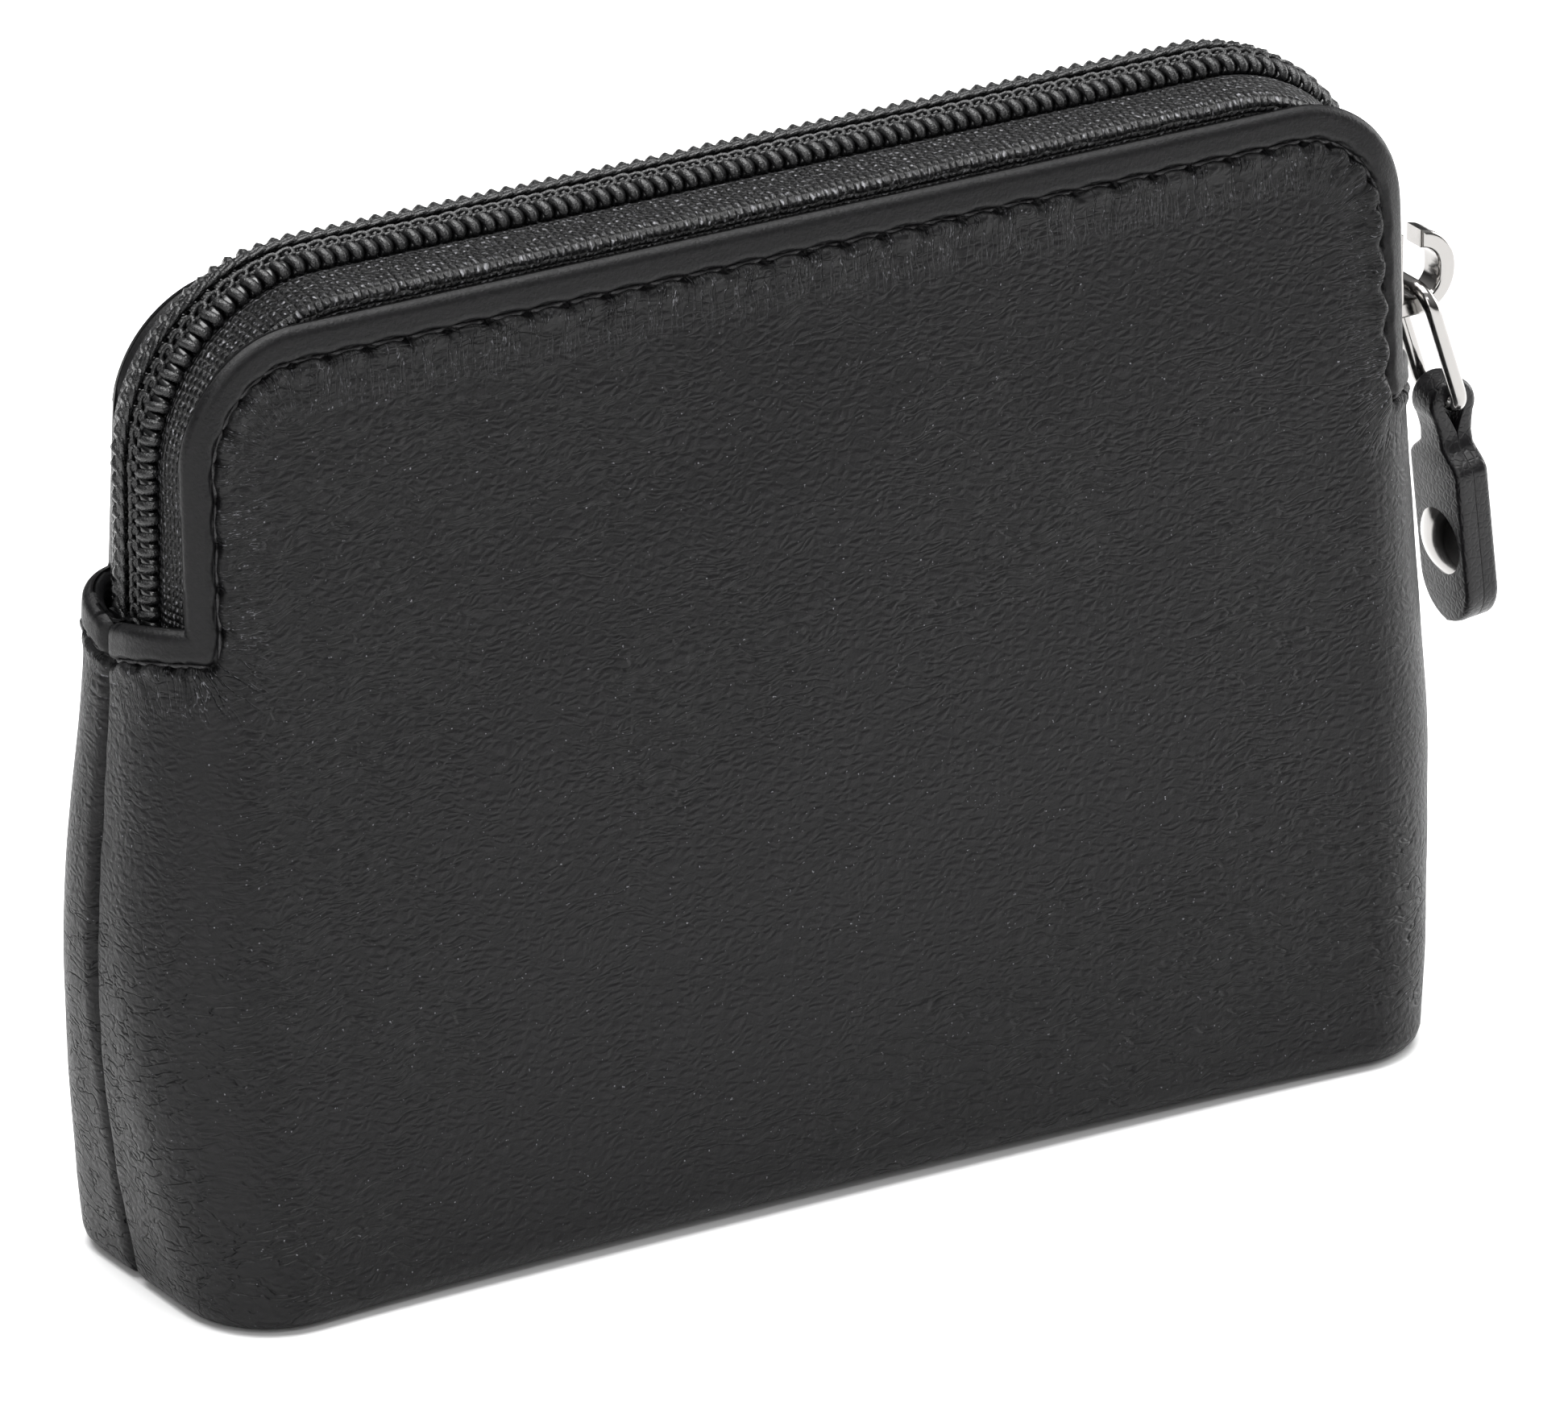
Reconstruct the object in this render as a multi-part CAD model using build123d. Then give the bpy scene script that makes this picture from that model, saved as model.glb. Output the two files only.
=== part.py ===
"""Coin purse with a zip over its top: leather shell, lining, coil zip, slider and leather pull.

Units are millimetres.  +Z is up, X runs along the purse's width, and the front faces -Y.
The origin is the centre of the flat base.  Each sub-part is written to parts/NODE.step.
"""
import math
import os

from build123d import *

# ---- Leather bag: sizes across the body at four levels, from the base up ----
WIDTH = 117.2                # widest level, seam to seam
LEATHER_HEIGHT = 79.2        # top edge of the leather
BELLY_HEIGHT = 25.0          # level of the greatest width
NOTCH_DROP = 24.2            # from the leather's top edge down to the notch at each side
BASE_DEPTH = 31.2            # front to back on the base
BELLY_DEPTH = 25.4           # front to back at the belly
NOTCH_DEPTH = 20.0           # front to back at the notch
TOP_DEPTH = 15.6             # front to back at the leather's top edge
BASE_TUCK = 3.3              # the base is this much shorter than the belly at each end
NOTCH_TUCK = 1.7             # and the notch level is this much shorter
TOP_TUCK = 1.4
BASE_CORNER = 8.0            # corner radius of the body in plan, at the base
BELLY_CORNER = 9.3
NOTCH_CORNER = 7.6
TOP_CORNER = 5.8
BACK_FULLNESS = 0.75         # depth and corners of the back, as a share of the front's
HEADROOM = 12.0              # the form is drawn on this far above the leather's edge
HEADROOM_TUCK = 0.6          # and closes in this much over it
SMALLEST_ROUNDING = 0.3      # a base rounding under this is left sharp
OVERCUT = 1.0                # cutting shapes run this far past what they cut
BASE_ROUND = 1.6             # rounding between the base and the walls
LEATHER = 1.2                # leather thickness
SEAM_GAP = 0.04              # between the front and back panels at the seam

# ---- Edge that carries the zip ----
CHAIN_SIDE_GAP = 0.35        # between the bottom stop and the leather's side
EDGE_RADIUS = 10.0           # corner of the leather edge beside the zip
EDGE_COVER = 1.8             # the front leather reaches this far past the zip's line at each side

# ---- Zip ----
ZIP_LIFT = 1.0               # the zip's line runs this far above the leather's top edge
ZIP_RADIUS = 13.0            # corner of the zip's line
TAPE = 0.6                   # tape thickness
TAPE_TUCK = 5.0              # tape held behind the leather
TAPE_RISE = 0.4              # outer face of the tape outside the zip's line
CHAIN_GAP = 1.5              # clear channel between the two coils for the slider's divider
COIL_DIAMETER = 1.6
COIL_WALL = 0.35
CORD_DIAMETER = 0.8          # filler cord inside the coil
COIL_THREAD = 0.4            # thread that runs along the top of each coil
ZIP_TAIL = 4.0               # the chain runs on this far below the notch
LINING = 0.4                 # lining thickness
LAYER_GAP = 0.05             # between leather, tape and lining
LINING_DROP = 1.0            # the lining ends this far inside the chain's edge and its ends

# ---- Stitches ----
THREAD = 0.4                 # how far a stitch stands off the leather
STITCH_PITCH = 3.5
STITCH_LENGTH = 2.4
STITCH_WIDTH = 0.5
STITCH_MARGIN = 2.8          # from the leather's edge to the topstitching
SEAM_STITCH_PITCH = 3.0
SEAM_STITCH_REACH = 0.9      # how far a side seam stitch reaches each way from the seam
SEAM_STITCH_START = 4.8      # lowest of them

# ---- Slider ----
SLIDER_LENGTH = 8.8
SLIDER_PLATE = 1.9
SLIDER_INNER_PLATE = 1.0
SLIDER_FLANGE = 1.3
SLIDER_EDGE_ROUND = 0.5      # rounding around the outer plate's face
SLIDER_CLEARANCE = 0.35      # around the chain and tapes
SLIDER_TAPER = 0.7           # the plate is this much narrower each side at its closed end
DIVIDER_CLEARANCE = 0.25     # each side of the divider
DIVIDER_LENGTH = 2.6
STOP_LENGTH = 1.8            # top stop, along the chain
STOP_WALL = 0.35             # metal of a stop around the coil
STOP_GAP = 0.15              # between the stops and the parked slider
NOTCH_TO_STOP = 1.6          # the top stops sit this far above the notch
BOTTOM_STOP_LENGTH = 2.2

# ---- Crown: the open hook on the slider that holds the ring ----
CROWN_WIDTH = 2.6
CROWN_FOOT = 1.4             # thickness of the foot that is set on the plate
CROWN_REACH = 6.4            # from the plate's face to the outside of the hook
CROWN_HEIGHT = 7.1
CROWN_METAL = 1.5            # thickness of the hook
CROWN_DROP = 2.0             # the hook hangs this far below the slider's end
CROWN_MOUTH = 1.8            # gap between the hook's tip and the foot
CROWN_ROUND = 0.35

# ---- Pull ring ----
RING_WIRE = 1.3
RING_LENGTH = 11.0           # between the centres of the two end bars
RING_WIDTH = 5.7             # between the centres of the two side bars
RING_CORNER = 1.8
RING_LEAN = 18.4             # degrees outward from straight down, at rest
RING_PLAY = 0.25             # under the ring's bar in the hook

# ---- Leather pull tab ----
TAB_LEATHER = 1.15           # one layer of the folded strip
TAB_THICKNESS = 3.0          # the two layers pressed together
TAB_LENGTH = 19.0            # from the ring's bar to the rounded end
TAB_WIDTH = 7.2
TAB_NECK_WIDTH = 3.4
TAB_NECK_LENGTH = 3.4
TAB_EYE_PLAY = 0.6           # the eye is this much wider than the ring's wire
TAB_LEAN = 6.5               # degrees outward from straight down, at rest
TAB_ROUND_SLACK = 0.1        # its roundings stop this far short of a full half circle
RIVET_FROM_END = 7.0
RIVET_CAP_DIAMETER = 5.6
RIVET_CAP_HEIGHT = 0.9
RIVET_POST_DIAMETER = 2.0
RIVET_HEAD_DIAMETER = 4.6
RIVET_HEAD_THICKNESS = 0.5
RIVET_CLEARANCE = 0.05

# ---- Places worked out from the sizes above ----
HALF_WIDTH = WIDTH / 2
NOTCH_HEIGHT = LEATHER_HEIGHT - NOTCH_DROP
SHOULDER = LEATHER + CHAIN_SIDE_GAP + STOP_WALL + COIL_DIAMETER + TAPE_RISE
ZIP_HALF = HALF_WIDTH - NOTCH_TUCK - SHOULDER
ZIP_HEIGHT = LEATHER_HEIGHT + ZIP_LIFT
EDGE_HALF = ZIP_HALF + EDGE_COVER
TAPE_INSET = LEATHER + LAYER_GAP
LINING_INSET = TAPE_INSET + TAPE + LAYER_GAP
COIL_RADIUS = COIL_DIAMETER / 2
COIL_OFFSET = TAPE_RISE + COIL_RADIUS
COIL_Y = CHAIN_GAP / 2 + COIL_RADIUS
THREAD_OFFSET = TAPE_RISE + COIL_DIAMETER + COIL_THREAD / 2
CHAIN_TOP = TAPE_RISE + COIL_DIAMETER + COIL_THREAD
SKY = LEATHER_HEIGHT + HEADROOM
FAR = WIDTH + 60.0

STOP_BOTTOM = NOTCH_HEIGHT + NOTCH_TO_STOP
SLIDER_BOTTOM = STOP_BOTTOM + STOP_LENGTH + STOP_GAP
SLIDER_TOP = SLIDER_BOTTOM + SLIDER_LENGTH
CAVITY_OUTER_X = ZIP_HALF + CHAIN_TOP + SLIDER_CLEARANCE
CAVITY_INNER_X = ZIP_HALF + TAPE_RISE - TAPE - SLIDER_CLEARANCE
CAVITY_HALF_Y = CHAIN_GAP / 2 + COIL_DIAMETER + SLIDER_CLEARANCE
PLATE_X = CAVITY_OUTER_X + SLIDER_PLATE
SLIDER_HALF_Y = CAVITY_HALF_Y + SLIDER_FLANGE

CROWN_BOTTOM = SLIDER_BOTTOM - CROWN_DROP
RING_TOP_X = PLATE_X + CROWN_FOOT + RING_WIRE
RING_TOP_Z = CROWN_BOTTOM + CROWN_METAL + RING_PLAY + RING_WIRE / 2
RING_BOTTOM_X = RING_TOP_X + RING_LENGTH * math.sin(math.radians(RING_LEAN))
RING_BOTTOM_Z = RING_TOP_Z - RING_LENGTH * math.cos(math.radians(RING_LEAN))
TAB_HOLE = RING_WIRE + TAB_EYE_PLAY


def body_form(inset, fullness=1.0):
    """Solid with the bag's outer form, every level drawn in by inset (out, where it is negative)."""
    levels = (
        (max(inset, 0.0), HALF_WIDTH - BASE_TUCK, BASE_DEPTH / 2, BASE_CORNER),
        (BELLY_HEIGHT, HALF_WIDTH, BELLY_DEPTH / 2, BELLY_CORNER),
        (NOTCH_HEIGHT, HALF_WIDTH - NOTCH_TUCK, NOTCH_DEPTH / 2, NOTCH_CORNER),
        (LEATHER_HEIGHT, HALF_WIDTH - TOP_TUCK, TOP_DEPTH / 2, TOP_CORNER),
        (SKY, HALF_WIDTH - TOP_TUCK - HEADROOM_TUCK, TOP_DEPTH / 2 - HEADROOM_TUCK, TOP_CORNER - HEADROOM_TUCK),
    )
    sections = []
    for z, half_width, half_depth, corner in levels:
        width = 2 * (half_width - inset)
        depth = 2 * (half_depth * fullness - inset)
        sections.append(Plane.XY.offset(z) * RectangleRounded(width, depth, corner * fullness - inset))
    form = loft(sections)
    rounding = BASE_ROUND - inset
    if rounding > SMALLEST_ROUNDING:
        form = fillet(form.edges().group_by(Axis.Z)[0], rounding)
    return form


def arched_prism(half, top, radius, below):
    """Prism through the purse, seen from the front as an upright shape with rounded upper corners."""
    outline = make_face(Polyline((-half, below), (-half, top), (half, top), (half, below), close=True))
    outline = fillet(outline.vertices().group_by(Axis.Y)[-1], radius)
    return extrude(Plane.XZ * outline, FAR / 2, both=True)


def leather_region(edge_half, below):
    """The area inside the leather's edge, from below upwards."""
    return arched_prism(edge_half, LEATHER_HEIGHT, EDGE_RADIUS, below)


def zip_region(offset, below):
    """The area inside the zip's line moved out by offset, from below upwards."""
    return arched_prism(ZIP_HALF + offset, ZIP_HEIGHT + offset, ZIP_RADIUS + offset, below)


def box_between(x0, x1, y0, y1, z0, z1):
    """Box given by its two limits along each axis."""
    centre = Pos((x0 + x1) / 2, (y0 + y1) / 2, (z0 + z1) / 2)
    return centre * Box(x1 - x0, y1 - y0, z1 - z0)


def front_half(solid, gap=SEAM_GAP):
    """The part of a solid in front of the seam plane, with half the gap left free."""
    return solid & box_between(-FAR, FAR, -FAR, -gap / 2, -OVERCUT, SKY + OVERCUT)


def to_back(solid):
    """The back piece that matches a front piece."""
    return mirror(solid, about=Plane.XZ)


def zip_path(offset, left_end, right_end, y=0.0):
    """Line up one side, round both corners and down the other side, offset out from the zip's line."""
    half = ZIP_HALF + offset
    top = ZIP_HEIGHT + offset
    corners = ((-half, left_end), (-half, top), (half, top), (half, right_end))
    return Pos(0, y, 0) * (Plane.XZ * FilletPolyline(*corners, radius=ZIP_RADIUS + offset))


def rod(path, diameter):
    """Round rod along a path."""
    return sweep(Plane(origin=path @ 0, z_dir=path % 0) * Circle(diameter / 2), path=path)


def leather_panel(fullness, edge_half):
    """Front leather, its sides, its half of the base, and the notches cut out at both ends of the zip."""
    wall = body_form(0.0, fullness) - body_form(LEATHER, fullness)
    below_notch = box_between(-FAR, FAR, -FAR, FAR, -OVERCUT, NOTCH_HEIGHT)
    return front_half(wall & (below_notch + leather_region(edge_half, NOTCH_HEIGHT - OVERCUT)))


def lining_panel(fullness):
    """Front lining: hangs inside the tape and stops below the ends of the chain."""
    sheet = body_form(LINING_INSET, fullness) - body_form(LINING_INSET + LINING, fullness)
    pocket_top = NOTCH_HEIGHT - ZIP_TAIL - LINING_DROP
    below_chain = box_between(-FAR, FAR, -FAR, FAR, -OVERCUT, pocket_top)
    return front_half(sheet & (below_chain + zip_region(-LINING_DROP, pocket_top - OVERCUT)))


def zip_tape(fullness):
    """Front tape: a band held behind the leather and a bridge from it to the coil."""
    low_end = NOTCH_HEIGHT - ZIP_TAIL
    reach = body_form(TAPE_INSET, fullness)
    band = (reach - body_form(TAPE_INSET + TAPE, fullness)) & zip_region(TAPE_RISE, low_end)
    band -= zip_region(-TAPE_TUCK, low_end - OVERCUT)
    bridge = reach & (zip_region(TAPE_RISE, low_end) - zip_region(TAPE_RISE - TAPE, low_end - OVERCUT))
    front = box_between(-FAR, FAR, -FAR, -CHAIN_GAP / 2, -OVERCUT, SKY)
    return (band + bridge) & front


def coil_tube():
    """Front coil, drawn as the tube that its turns fill."""
    low_end = NOTCH_HEIGHT - ZIP_TAIL
    path = zip_path(COIL_OFFSET, low_end, low_end, -COIL_Y)
    return rod(path, COIL_DIAMETER) - rod(path, COIL_DIAMETER - 2 * COIL_WALL)


def coil_cord():
    """Front filler cord inside the coil."""
    low_end = NOTCH_HEIGHT - ZIP_TAIL
    return rod(zip_path(COIL_OFFSET, low_end, low_end, -COIL_Y), CORD_DIAMETER)


def coil_thread():
    """Front row of thread on top of the coil, from the bottom stop's end to the top stop."""
    left_end = NOTCH_HEIGHT
    right_end = STOP_BOTTOM + STOP_LENGTH
    return rod(zip_path(THREAD_OFFSET, left_end, right_end, -COIL_Y), COIL_THREAD)


def top_stop():
    """Front top stop: a metal clip closed around the end of the coil, above the tape."""
    height = STOP_LENGTH
    centre = Pos(ZIP_HALF + COIL_OFFSET, -COIL_Y, STOP_BOTTOM + height / 2)
    bore = COIL_RADIUS + LAYER_GAP
    clip = centre * (Cylinder(bore + STOP_WALL, height) - Cylinder(bore, height))
    above_tape = ZIP_HALF + TAPE_RISE + LAYER_GAP
    return clip & box_between(above_tape, FAR, -FAR, FAR, 0.0, SKY)


def bottom_stop():
    """Bottom stop: one staple across both coils at the other end of the zip, below the notch."""
    half_y = COIL_Y + COIL_RADIUS + STOP_WALL
    inner_x = ZIP_HALF + TAPE_RISE + LAYER_GAP
    outer_x = ZIP_HALF + TAPE_RISE + COIL_DIAMETER + STOP_WALL
    top = NOTCH_HEIGHT - LAYER_GAP
    staple = box_between(-outer_x, -inner_x, -half_y, half_y, top - BOTTOM_STOP_LENGTH, top)
    for side in (-1, 1):
        coil = Pos(-ZIP_HALF - COIL_OFFSET, side * COIL_Y, top - BOTTOM_STOP_LENGTH / 2)
        staple -= coil * Cylinder(COIL_RADIUS + LAYER_GAP, BOTTOM_STOP_LENGTH + OVERCUT)
    return staple


def thread_layer(fullness, gap=SEAM_GAP):
    """Thin layer over the front leather that stitches are cut from."""
    return front_half(body_form(-THREAD, fullness) - body_form(0.0, fullness), gap)


def topstitching(fullness, edge_half):
    """Front row of stitches: along the zip's edge, and on round each notch towards the side seam."""
    rim = NOTCH_HEIGHT - STITCH_MARGIN
    half = edge_half - STITCH_MARGIN
    top = LEATHER_HEIGHT - STITCH_MARGIN
    seam_end = HALF_WIDTH - NOTCH_TUCK - STITCH_MARGIN
    main_row = FilletPolyline((-half, rim), (-half, top), (half, top), (half, rim),
                              radius=EDGE_RADIUS - STITCH_MARGIN)
    rows = [main_row]
    for side in (-1, 1):
        rows.append(Line((side * half, rim), (side * seam_end, rim)))
    layer = thread_layer(fullness)
    stitches = []
    for row in rows:
        count = max(round(row.length / STITCH_PITCH), 1)
        for index in range(count):
            place = row @ ((index + 0.5) / count)
            along = row % ((index + 0.5) / count)
            turn = math.degrees(math.atan2(along.Y, along.X))
            cutter = Pos(place.X, 0, place.Y) * Rot(0, -turn, 0) * Box(STITCH_LENGTH, FAR, STITCH_WIDTH)
            stitches.append(layer & cutter)
    return Compound([solid for stitch in stitches for solid in stitch.solids()])


def seam_stitching(side):
    """Short stitches across one side seam, from the base's rounding up to the notch."""
    layer = thread_layer(1.0, 0.0) + to_back(thread_layer(BACK_FULLNESS, 0.0))
    low = SEAM_STITCH_START
    high = NOTCH_HEIGHT - STITCH_MARGIN - SEAM_STITCH_PITCH
    count = int((high - low) / SEAM_STITCH_PITCH) + 1
    reach = SEAM_STITCH_REACH
    inner_x, outer_x = sorted((side * HALF_WIDTH / 2, side * FAR))
    stitches = []
    for index in range(count):
        z = low + index * (high - low) / (count - 1)
        cutter = box_between(inner_x, outer_x, -reach, reach, z - STITCH_WIDTH / 2, z + STITCH_WIDTH / 2)
        stitches.append(layer & cutter)
    return Compound([solid for stitch in stitches for solid in stitch.solids()])


def slider_body():
    """Slider: outer and inner plates around the chain, two side flanges, and the divider at its mouth."""
    low = SLIDER_BOTTOM
    high = SLIDER_TOP
    half = SLIDER_HALF_Y
    plate = box_between(CAVITY_OUTER_X, PLATE_X, -half, half, low, high)
    flange_x = ZIP_HALF + TAPE_RISE + SLIDER_CLEARANCE
    for side in (-1, 1):
        inside, outside = sorted((side * CAVITY_HALF_Y, side * half))
        plate += box_between(flange_x, PLATE_X, inside, outside, low, high)
    inner = box_between(CAVITY_INNER_X - SLIDER_INNER_PLATE, CAVITY_INNER_X, -half, half, low, high)
    post_half = CHAIN_GAP / 2 - DIVIDER_CLEARANCE
    post = box_between(CAVITY_INNER_X, CAVITY_OUTER_X, -post_half, post_half, low, low + DIVIDER_LENGTH)
    narrow = half - SLIDER_TAPER
    shape = make_face(Polyline((-half, low), (half, low), (narrow, high), (-narrow, high), close=True))
    shape = fillet(shape.vertices(), SLIDER_TAPER)
    envelope = extrude(Plane.YZ * shape, FAR)
    slider = (plate + inner + post) & envelope
    outer_face = slider.faces().sort_by(Axis.X)[-1]
    return fillet(outer_face.edges(), SLIDER_EDGE_ROUND)


def slider_crown():
    """Open hook: its foot lies on the slider's plate, and its tip turns back up towards the plate."""
    x0 = PLATE_X
    x1 = PLATE_X + CROWN_REACH
    z0 = CROWN_BOTTOM
    z1 = CROWN_BOTTOM + CROWN_HEIGHT
    foot = x0 + CROWN_FOOT
    outer = make_face(Polyline((x0, z0), (x1, z0), (x1, z1), (x0, z1), close=True))
    outer = fillet(outer.vertices().group_by(Axis.X)[-1], CROWN_REACH - CROWN_FOOT - CROWN_METAL)
    slot_x = x1 - CROWN_METAL
    slot_z0 = z0 + CROWN_METAL
    slot_z1 = z1 - CROWN_METAL
    slot_corners = ((foot, slot_z0), (slot_x, slot_z0), (slot_x, slot_z1), (foot, slot_z1))
    slot = make_face(Polyline(*slot_corners, close=True))
    slot = fillet(slot.vertices().group_by(Axis.X)[-1], (slot_x - foot) / 2)
    mouth = Pos(foot + CROWN_MOUTH / 2, z1) * Rectangle(CROWN_MOUTH, 2 * (CROWN_METAL + OVERCUT))
    profile = outer - slot - mouth
    hook = extrude(Plane.XZ * profile, CROWN_WIDTH / 2, both=True)
    rim = hook.faces().filter_by(Axis.Y).edges().filter_by(lambda edge: edge.center().X > foot + CROWN_ROUND)
    return fillet(rim, CROWN_ROUND)


def pull_ring():
    """Long oval wire link hanging from the hook, leaning outward."""
    half = RING_WIDTH / 2
    middle = Pos(0, -RING_LENGTH / 2)
    oval = Plane.YZ * (middle * RectangleRounded(RING_WIDTH, RING_LENGTH, RING_CORNER))
    link = rod(oval.face().outer_wire(), RING_WIRE)
    return Pos(RING_TOP_X, 0, RING_TOP_Z) * Rot(0, -RING_LEAN, 0) * link


def place_tab(solid):
    """Move a piece drawn straight down from the eye to its place on the ring."""
    return Pos(RING_BOTTOM_X, 0, RING_BOTTOM_Z) * Rot(0, -TAB_LEAN, 0) * solid


def pull_tab():
    """Leather strip folded over the ring's bar and pressed flat, with a narrow neck and a round end."""
    eye_radius = TAB_HOLE / 2 + TAB_LEATHER
    side_view = Circle(eye_radius) + Pos(0, -TAB_LENGTH / 2) * Rectangle(TAB_THICKNESS, TAB_LENGTH)
    side_view -= Circle(TAB_HOLE / 2)
    strip = extrude(Plane.XZ * side_view, TAB_WIDTH / 2, both=True)
    neck = Pos(0, (eye_radius - TAB_NECK_LENGTH) / 2) * Rectangle(TAB_NECK_WIDTH, eye_radius + TAB_NECK_LENGTH)
    blade_length = TAB_LENGTH - TAB_NECK_LENGTH
    blade = Pos(0, -TAB_NECK_LENGTH - blade_length / 2) * Rectangle(TAB_WIDTH, blade_length)
    blade = fillet(blade.vertices().group_by(Axis.Y)[0], TAB_WIDTH / 2 - TAB_ROUND_SLACK)
    shoulder_round = (TAB_WIDTH - TAB_NECK_WIDTH) / 2 - TAB_ROUND_SLACK
    blade = fillet(blade.vertices().group_by(Axis.Y)[-1], shoulder_round)
    front_view = extrude(Plane.YZ * (neck + blade), TAB_WIDTH, both=True)
    rivet_hole = Pos(0, 0, RIVET_FROM_END - TAB_LENGTH) * Rot(0, 90, 0)
    bore = rivet_hole * Cylinder(RIVET_POST_DIAMETER / 2 + RIVET_CLEARANCE, 2 * TAB_THICKNESS)
    return place_tab((strip & front_view) - bore)


def rivet_cap():
    """Domed chrome cap on the side of the tab that faces the purse."""
    radius = RIVET_CAP_DIAMETER / 2
    height = RIVET_CAP_HEIGHT
    sphere_radius = (radius ** 2 + height ** 2) / (2 * height)
    ball = Pos(-TAB_THICKNESS / 2 - height + sphere_radius, 0, RIVET_FROM_END - TAB_LENGTH) * Sphere(sphere_radius)
    outside = box_between(-FAR, -TAB_THICKNESS / 2, -FAR, FAR, -FAR, FAR)
    return place_tab(ball & outside)


def rivet_post():
    """Rivet post through both layers, with a thin flat head on the outer side."""
    middle = RIVET_FROM_END - TAB_LENGTH
    post = Pos(0, 0, middle) * Rot(0, 90, 0) * Cylinder(RIVET_POST_DIAMETER / 2, TAB_THICKNESS)
    head_x = (TAB_THICKNESS + RIVET_HEAD_THICKNESS) / 2
    head = Pos(head_x, 0, middle) * Rot(0, 90, 0) * Cylinder(RIVET_HEAD_DIAMETER / 2, RIVET_HEAD_THICKNESS)
    return place_tab(post + head)


def save(name, solid):
    """Write one sub-part."""
    export_step(solid, f"parts/{name}.step")


os.makedirs("parts", exist_ok=True)

for side, fullness, edge_half in (("front", 1.0, EDGE_HALF), ("back", BACK_FULLNESS, ZIP_HALF)):
    drawn_at_front = {
        "panel": leather_panel(fullness, edge_half),
        "lining": lining_panel(fullness),
        "topstitching": topstitching(fullness, edge_half),
        "zip_tape": zip_tape(fullness),
        "coil": coil_tube(),
        "coil_cord": coil_cord(),
        "coil_thread": coil_thread(),
        "top_stop": top_stop(),
    }
    for piece_name, solid in drawn_at_front.items():
        save(f"{side}_{piece_name}", solid if side == "front" else to_back(solid))

save("left_seam_stitching", seam_stitching(-1))
save("right_seam_stitching", seam_stitching(1))
save("bottom_stop", bottom_stop())
save("slider_body", slider_body())
save("slider_crown", slider_crown())
save("pull_ring", pull_ring())
save("pull_tab", pull_tab())
save("rivet_cap", rivet_cap())
save("rivet_post", rivet_post())
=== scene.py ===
"""Black leather coin purse, standing zipped on a pale floor.

Lengths below are in millimetres and meshes are written in metres.  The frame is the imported
model's own: +Z up, X along the width, the front faces -Y.
"""
import math

import bpy
import numpy as np
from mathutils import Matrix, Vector, noise
from mathutils.geometry import delaunay_2d_cdt


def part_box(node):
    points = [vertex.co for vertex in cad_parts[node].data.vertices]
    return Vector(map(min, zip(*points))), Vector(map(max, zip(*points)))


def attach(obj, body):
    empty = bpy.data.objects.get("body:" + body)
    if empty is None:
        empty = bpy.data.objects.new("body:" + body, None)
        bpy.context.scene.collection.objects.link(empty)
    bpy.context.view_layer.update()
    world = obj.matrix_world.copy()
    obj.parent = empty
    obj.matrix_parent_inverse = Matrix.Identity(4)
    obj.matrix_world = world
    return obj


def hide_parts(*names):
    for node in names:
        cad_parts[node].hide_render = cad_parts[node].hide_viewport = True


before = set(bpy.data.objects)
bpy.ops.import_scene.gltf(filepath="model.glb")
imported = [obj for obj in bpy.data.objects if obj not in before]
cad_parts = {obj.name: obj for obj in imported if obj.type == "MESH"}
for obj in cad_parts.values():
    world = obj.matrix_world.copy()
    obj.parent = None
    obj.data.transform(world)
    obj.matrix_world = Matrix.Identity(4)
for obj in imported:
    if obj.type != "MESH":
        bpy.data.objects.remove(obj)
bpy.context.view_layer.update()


# ---------------------------------------------------------------------------------------------
# Table top and light: a sweep of white paper lit by large soft boxes.  Black leather shows only
# what it mirrors, so the boxes are what draws its folds, its grain and the rims of its edges.
# ---------------------------------------------------------------------------------------------
MM = 0.001
FLOOR_HALF = 3000.0
FLOOR_DROP = 0.02           # below the base, so that the two never share a plane
scene = bpy.context.scene


def linear(hex_colour):
    """An sRGB hex colour as linear RGBA."""
    channels = [int(hex_colour[i:i + 2], 16) / 255 for i in (1, 3, 5)]
    return [c / 12.92 if c <= 0.04045 else ((c + 0.055) / 1.055) ** 2.4 for c in channels] + [1.0]


def add_node(tree, kind, inputs=(), **settings):
    """Add a node; inputs pairs a socket with a value or with the output that feeds it."""
    node = tree.nodes.new(kind)
    for key, value in settings.items():
        setattr(node, key, value)
    for socket, value in inputs:
        if isinstance(value, bpy.types.NodeSocket):
            tree.links.new(value, node.inputs[socket])
        else:
            node.inputs[socket].default_value = value
    return node


def start_material(name):
    """An empty material and its node tree."""
    material = bpy.data.materials.new(name)
    material.use_nodes = True
    material.node_tree.nodes.clear()
    return material, material.node_tree


def finish_material(tree, shader):
    """Join the shader to the material's output."""
    add_node(tree, "ShaderNodeOutputMaterial", [("Surface", shader.outputs[0])])


def object_mm(tree):
    """The object's own coordinates, in millimetres."""
    return placed(tree, add_node(tree, "ShaderNodeTexCoord").outputs["Object"], (1000, 1000, 1000))


def placed(tree, vector, scale, rotation=(0, 0, 0)):
    """Coordinates turned and scaled."""
    return add_node(tree, "ShaderNodeMapping", [("Vector", vector), ("Scale", scale),
                                                ("Rotation", rotation)]).outputs[0]


def maths(tree, operation, *values):
    """The result of a math node."""
    return add_node(tree, "ShaderNodeMath", enumerate(values), operation=operation).outputs[0]


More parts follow.
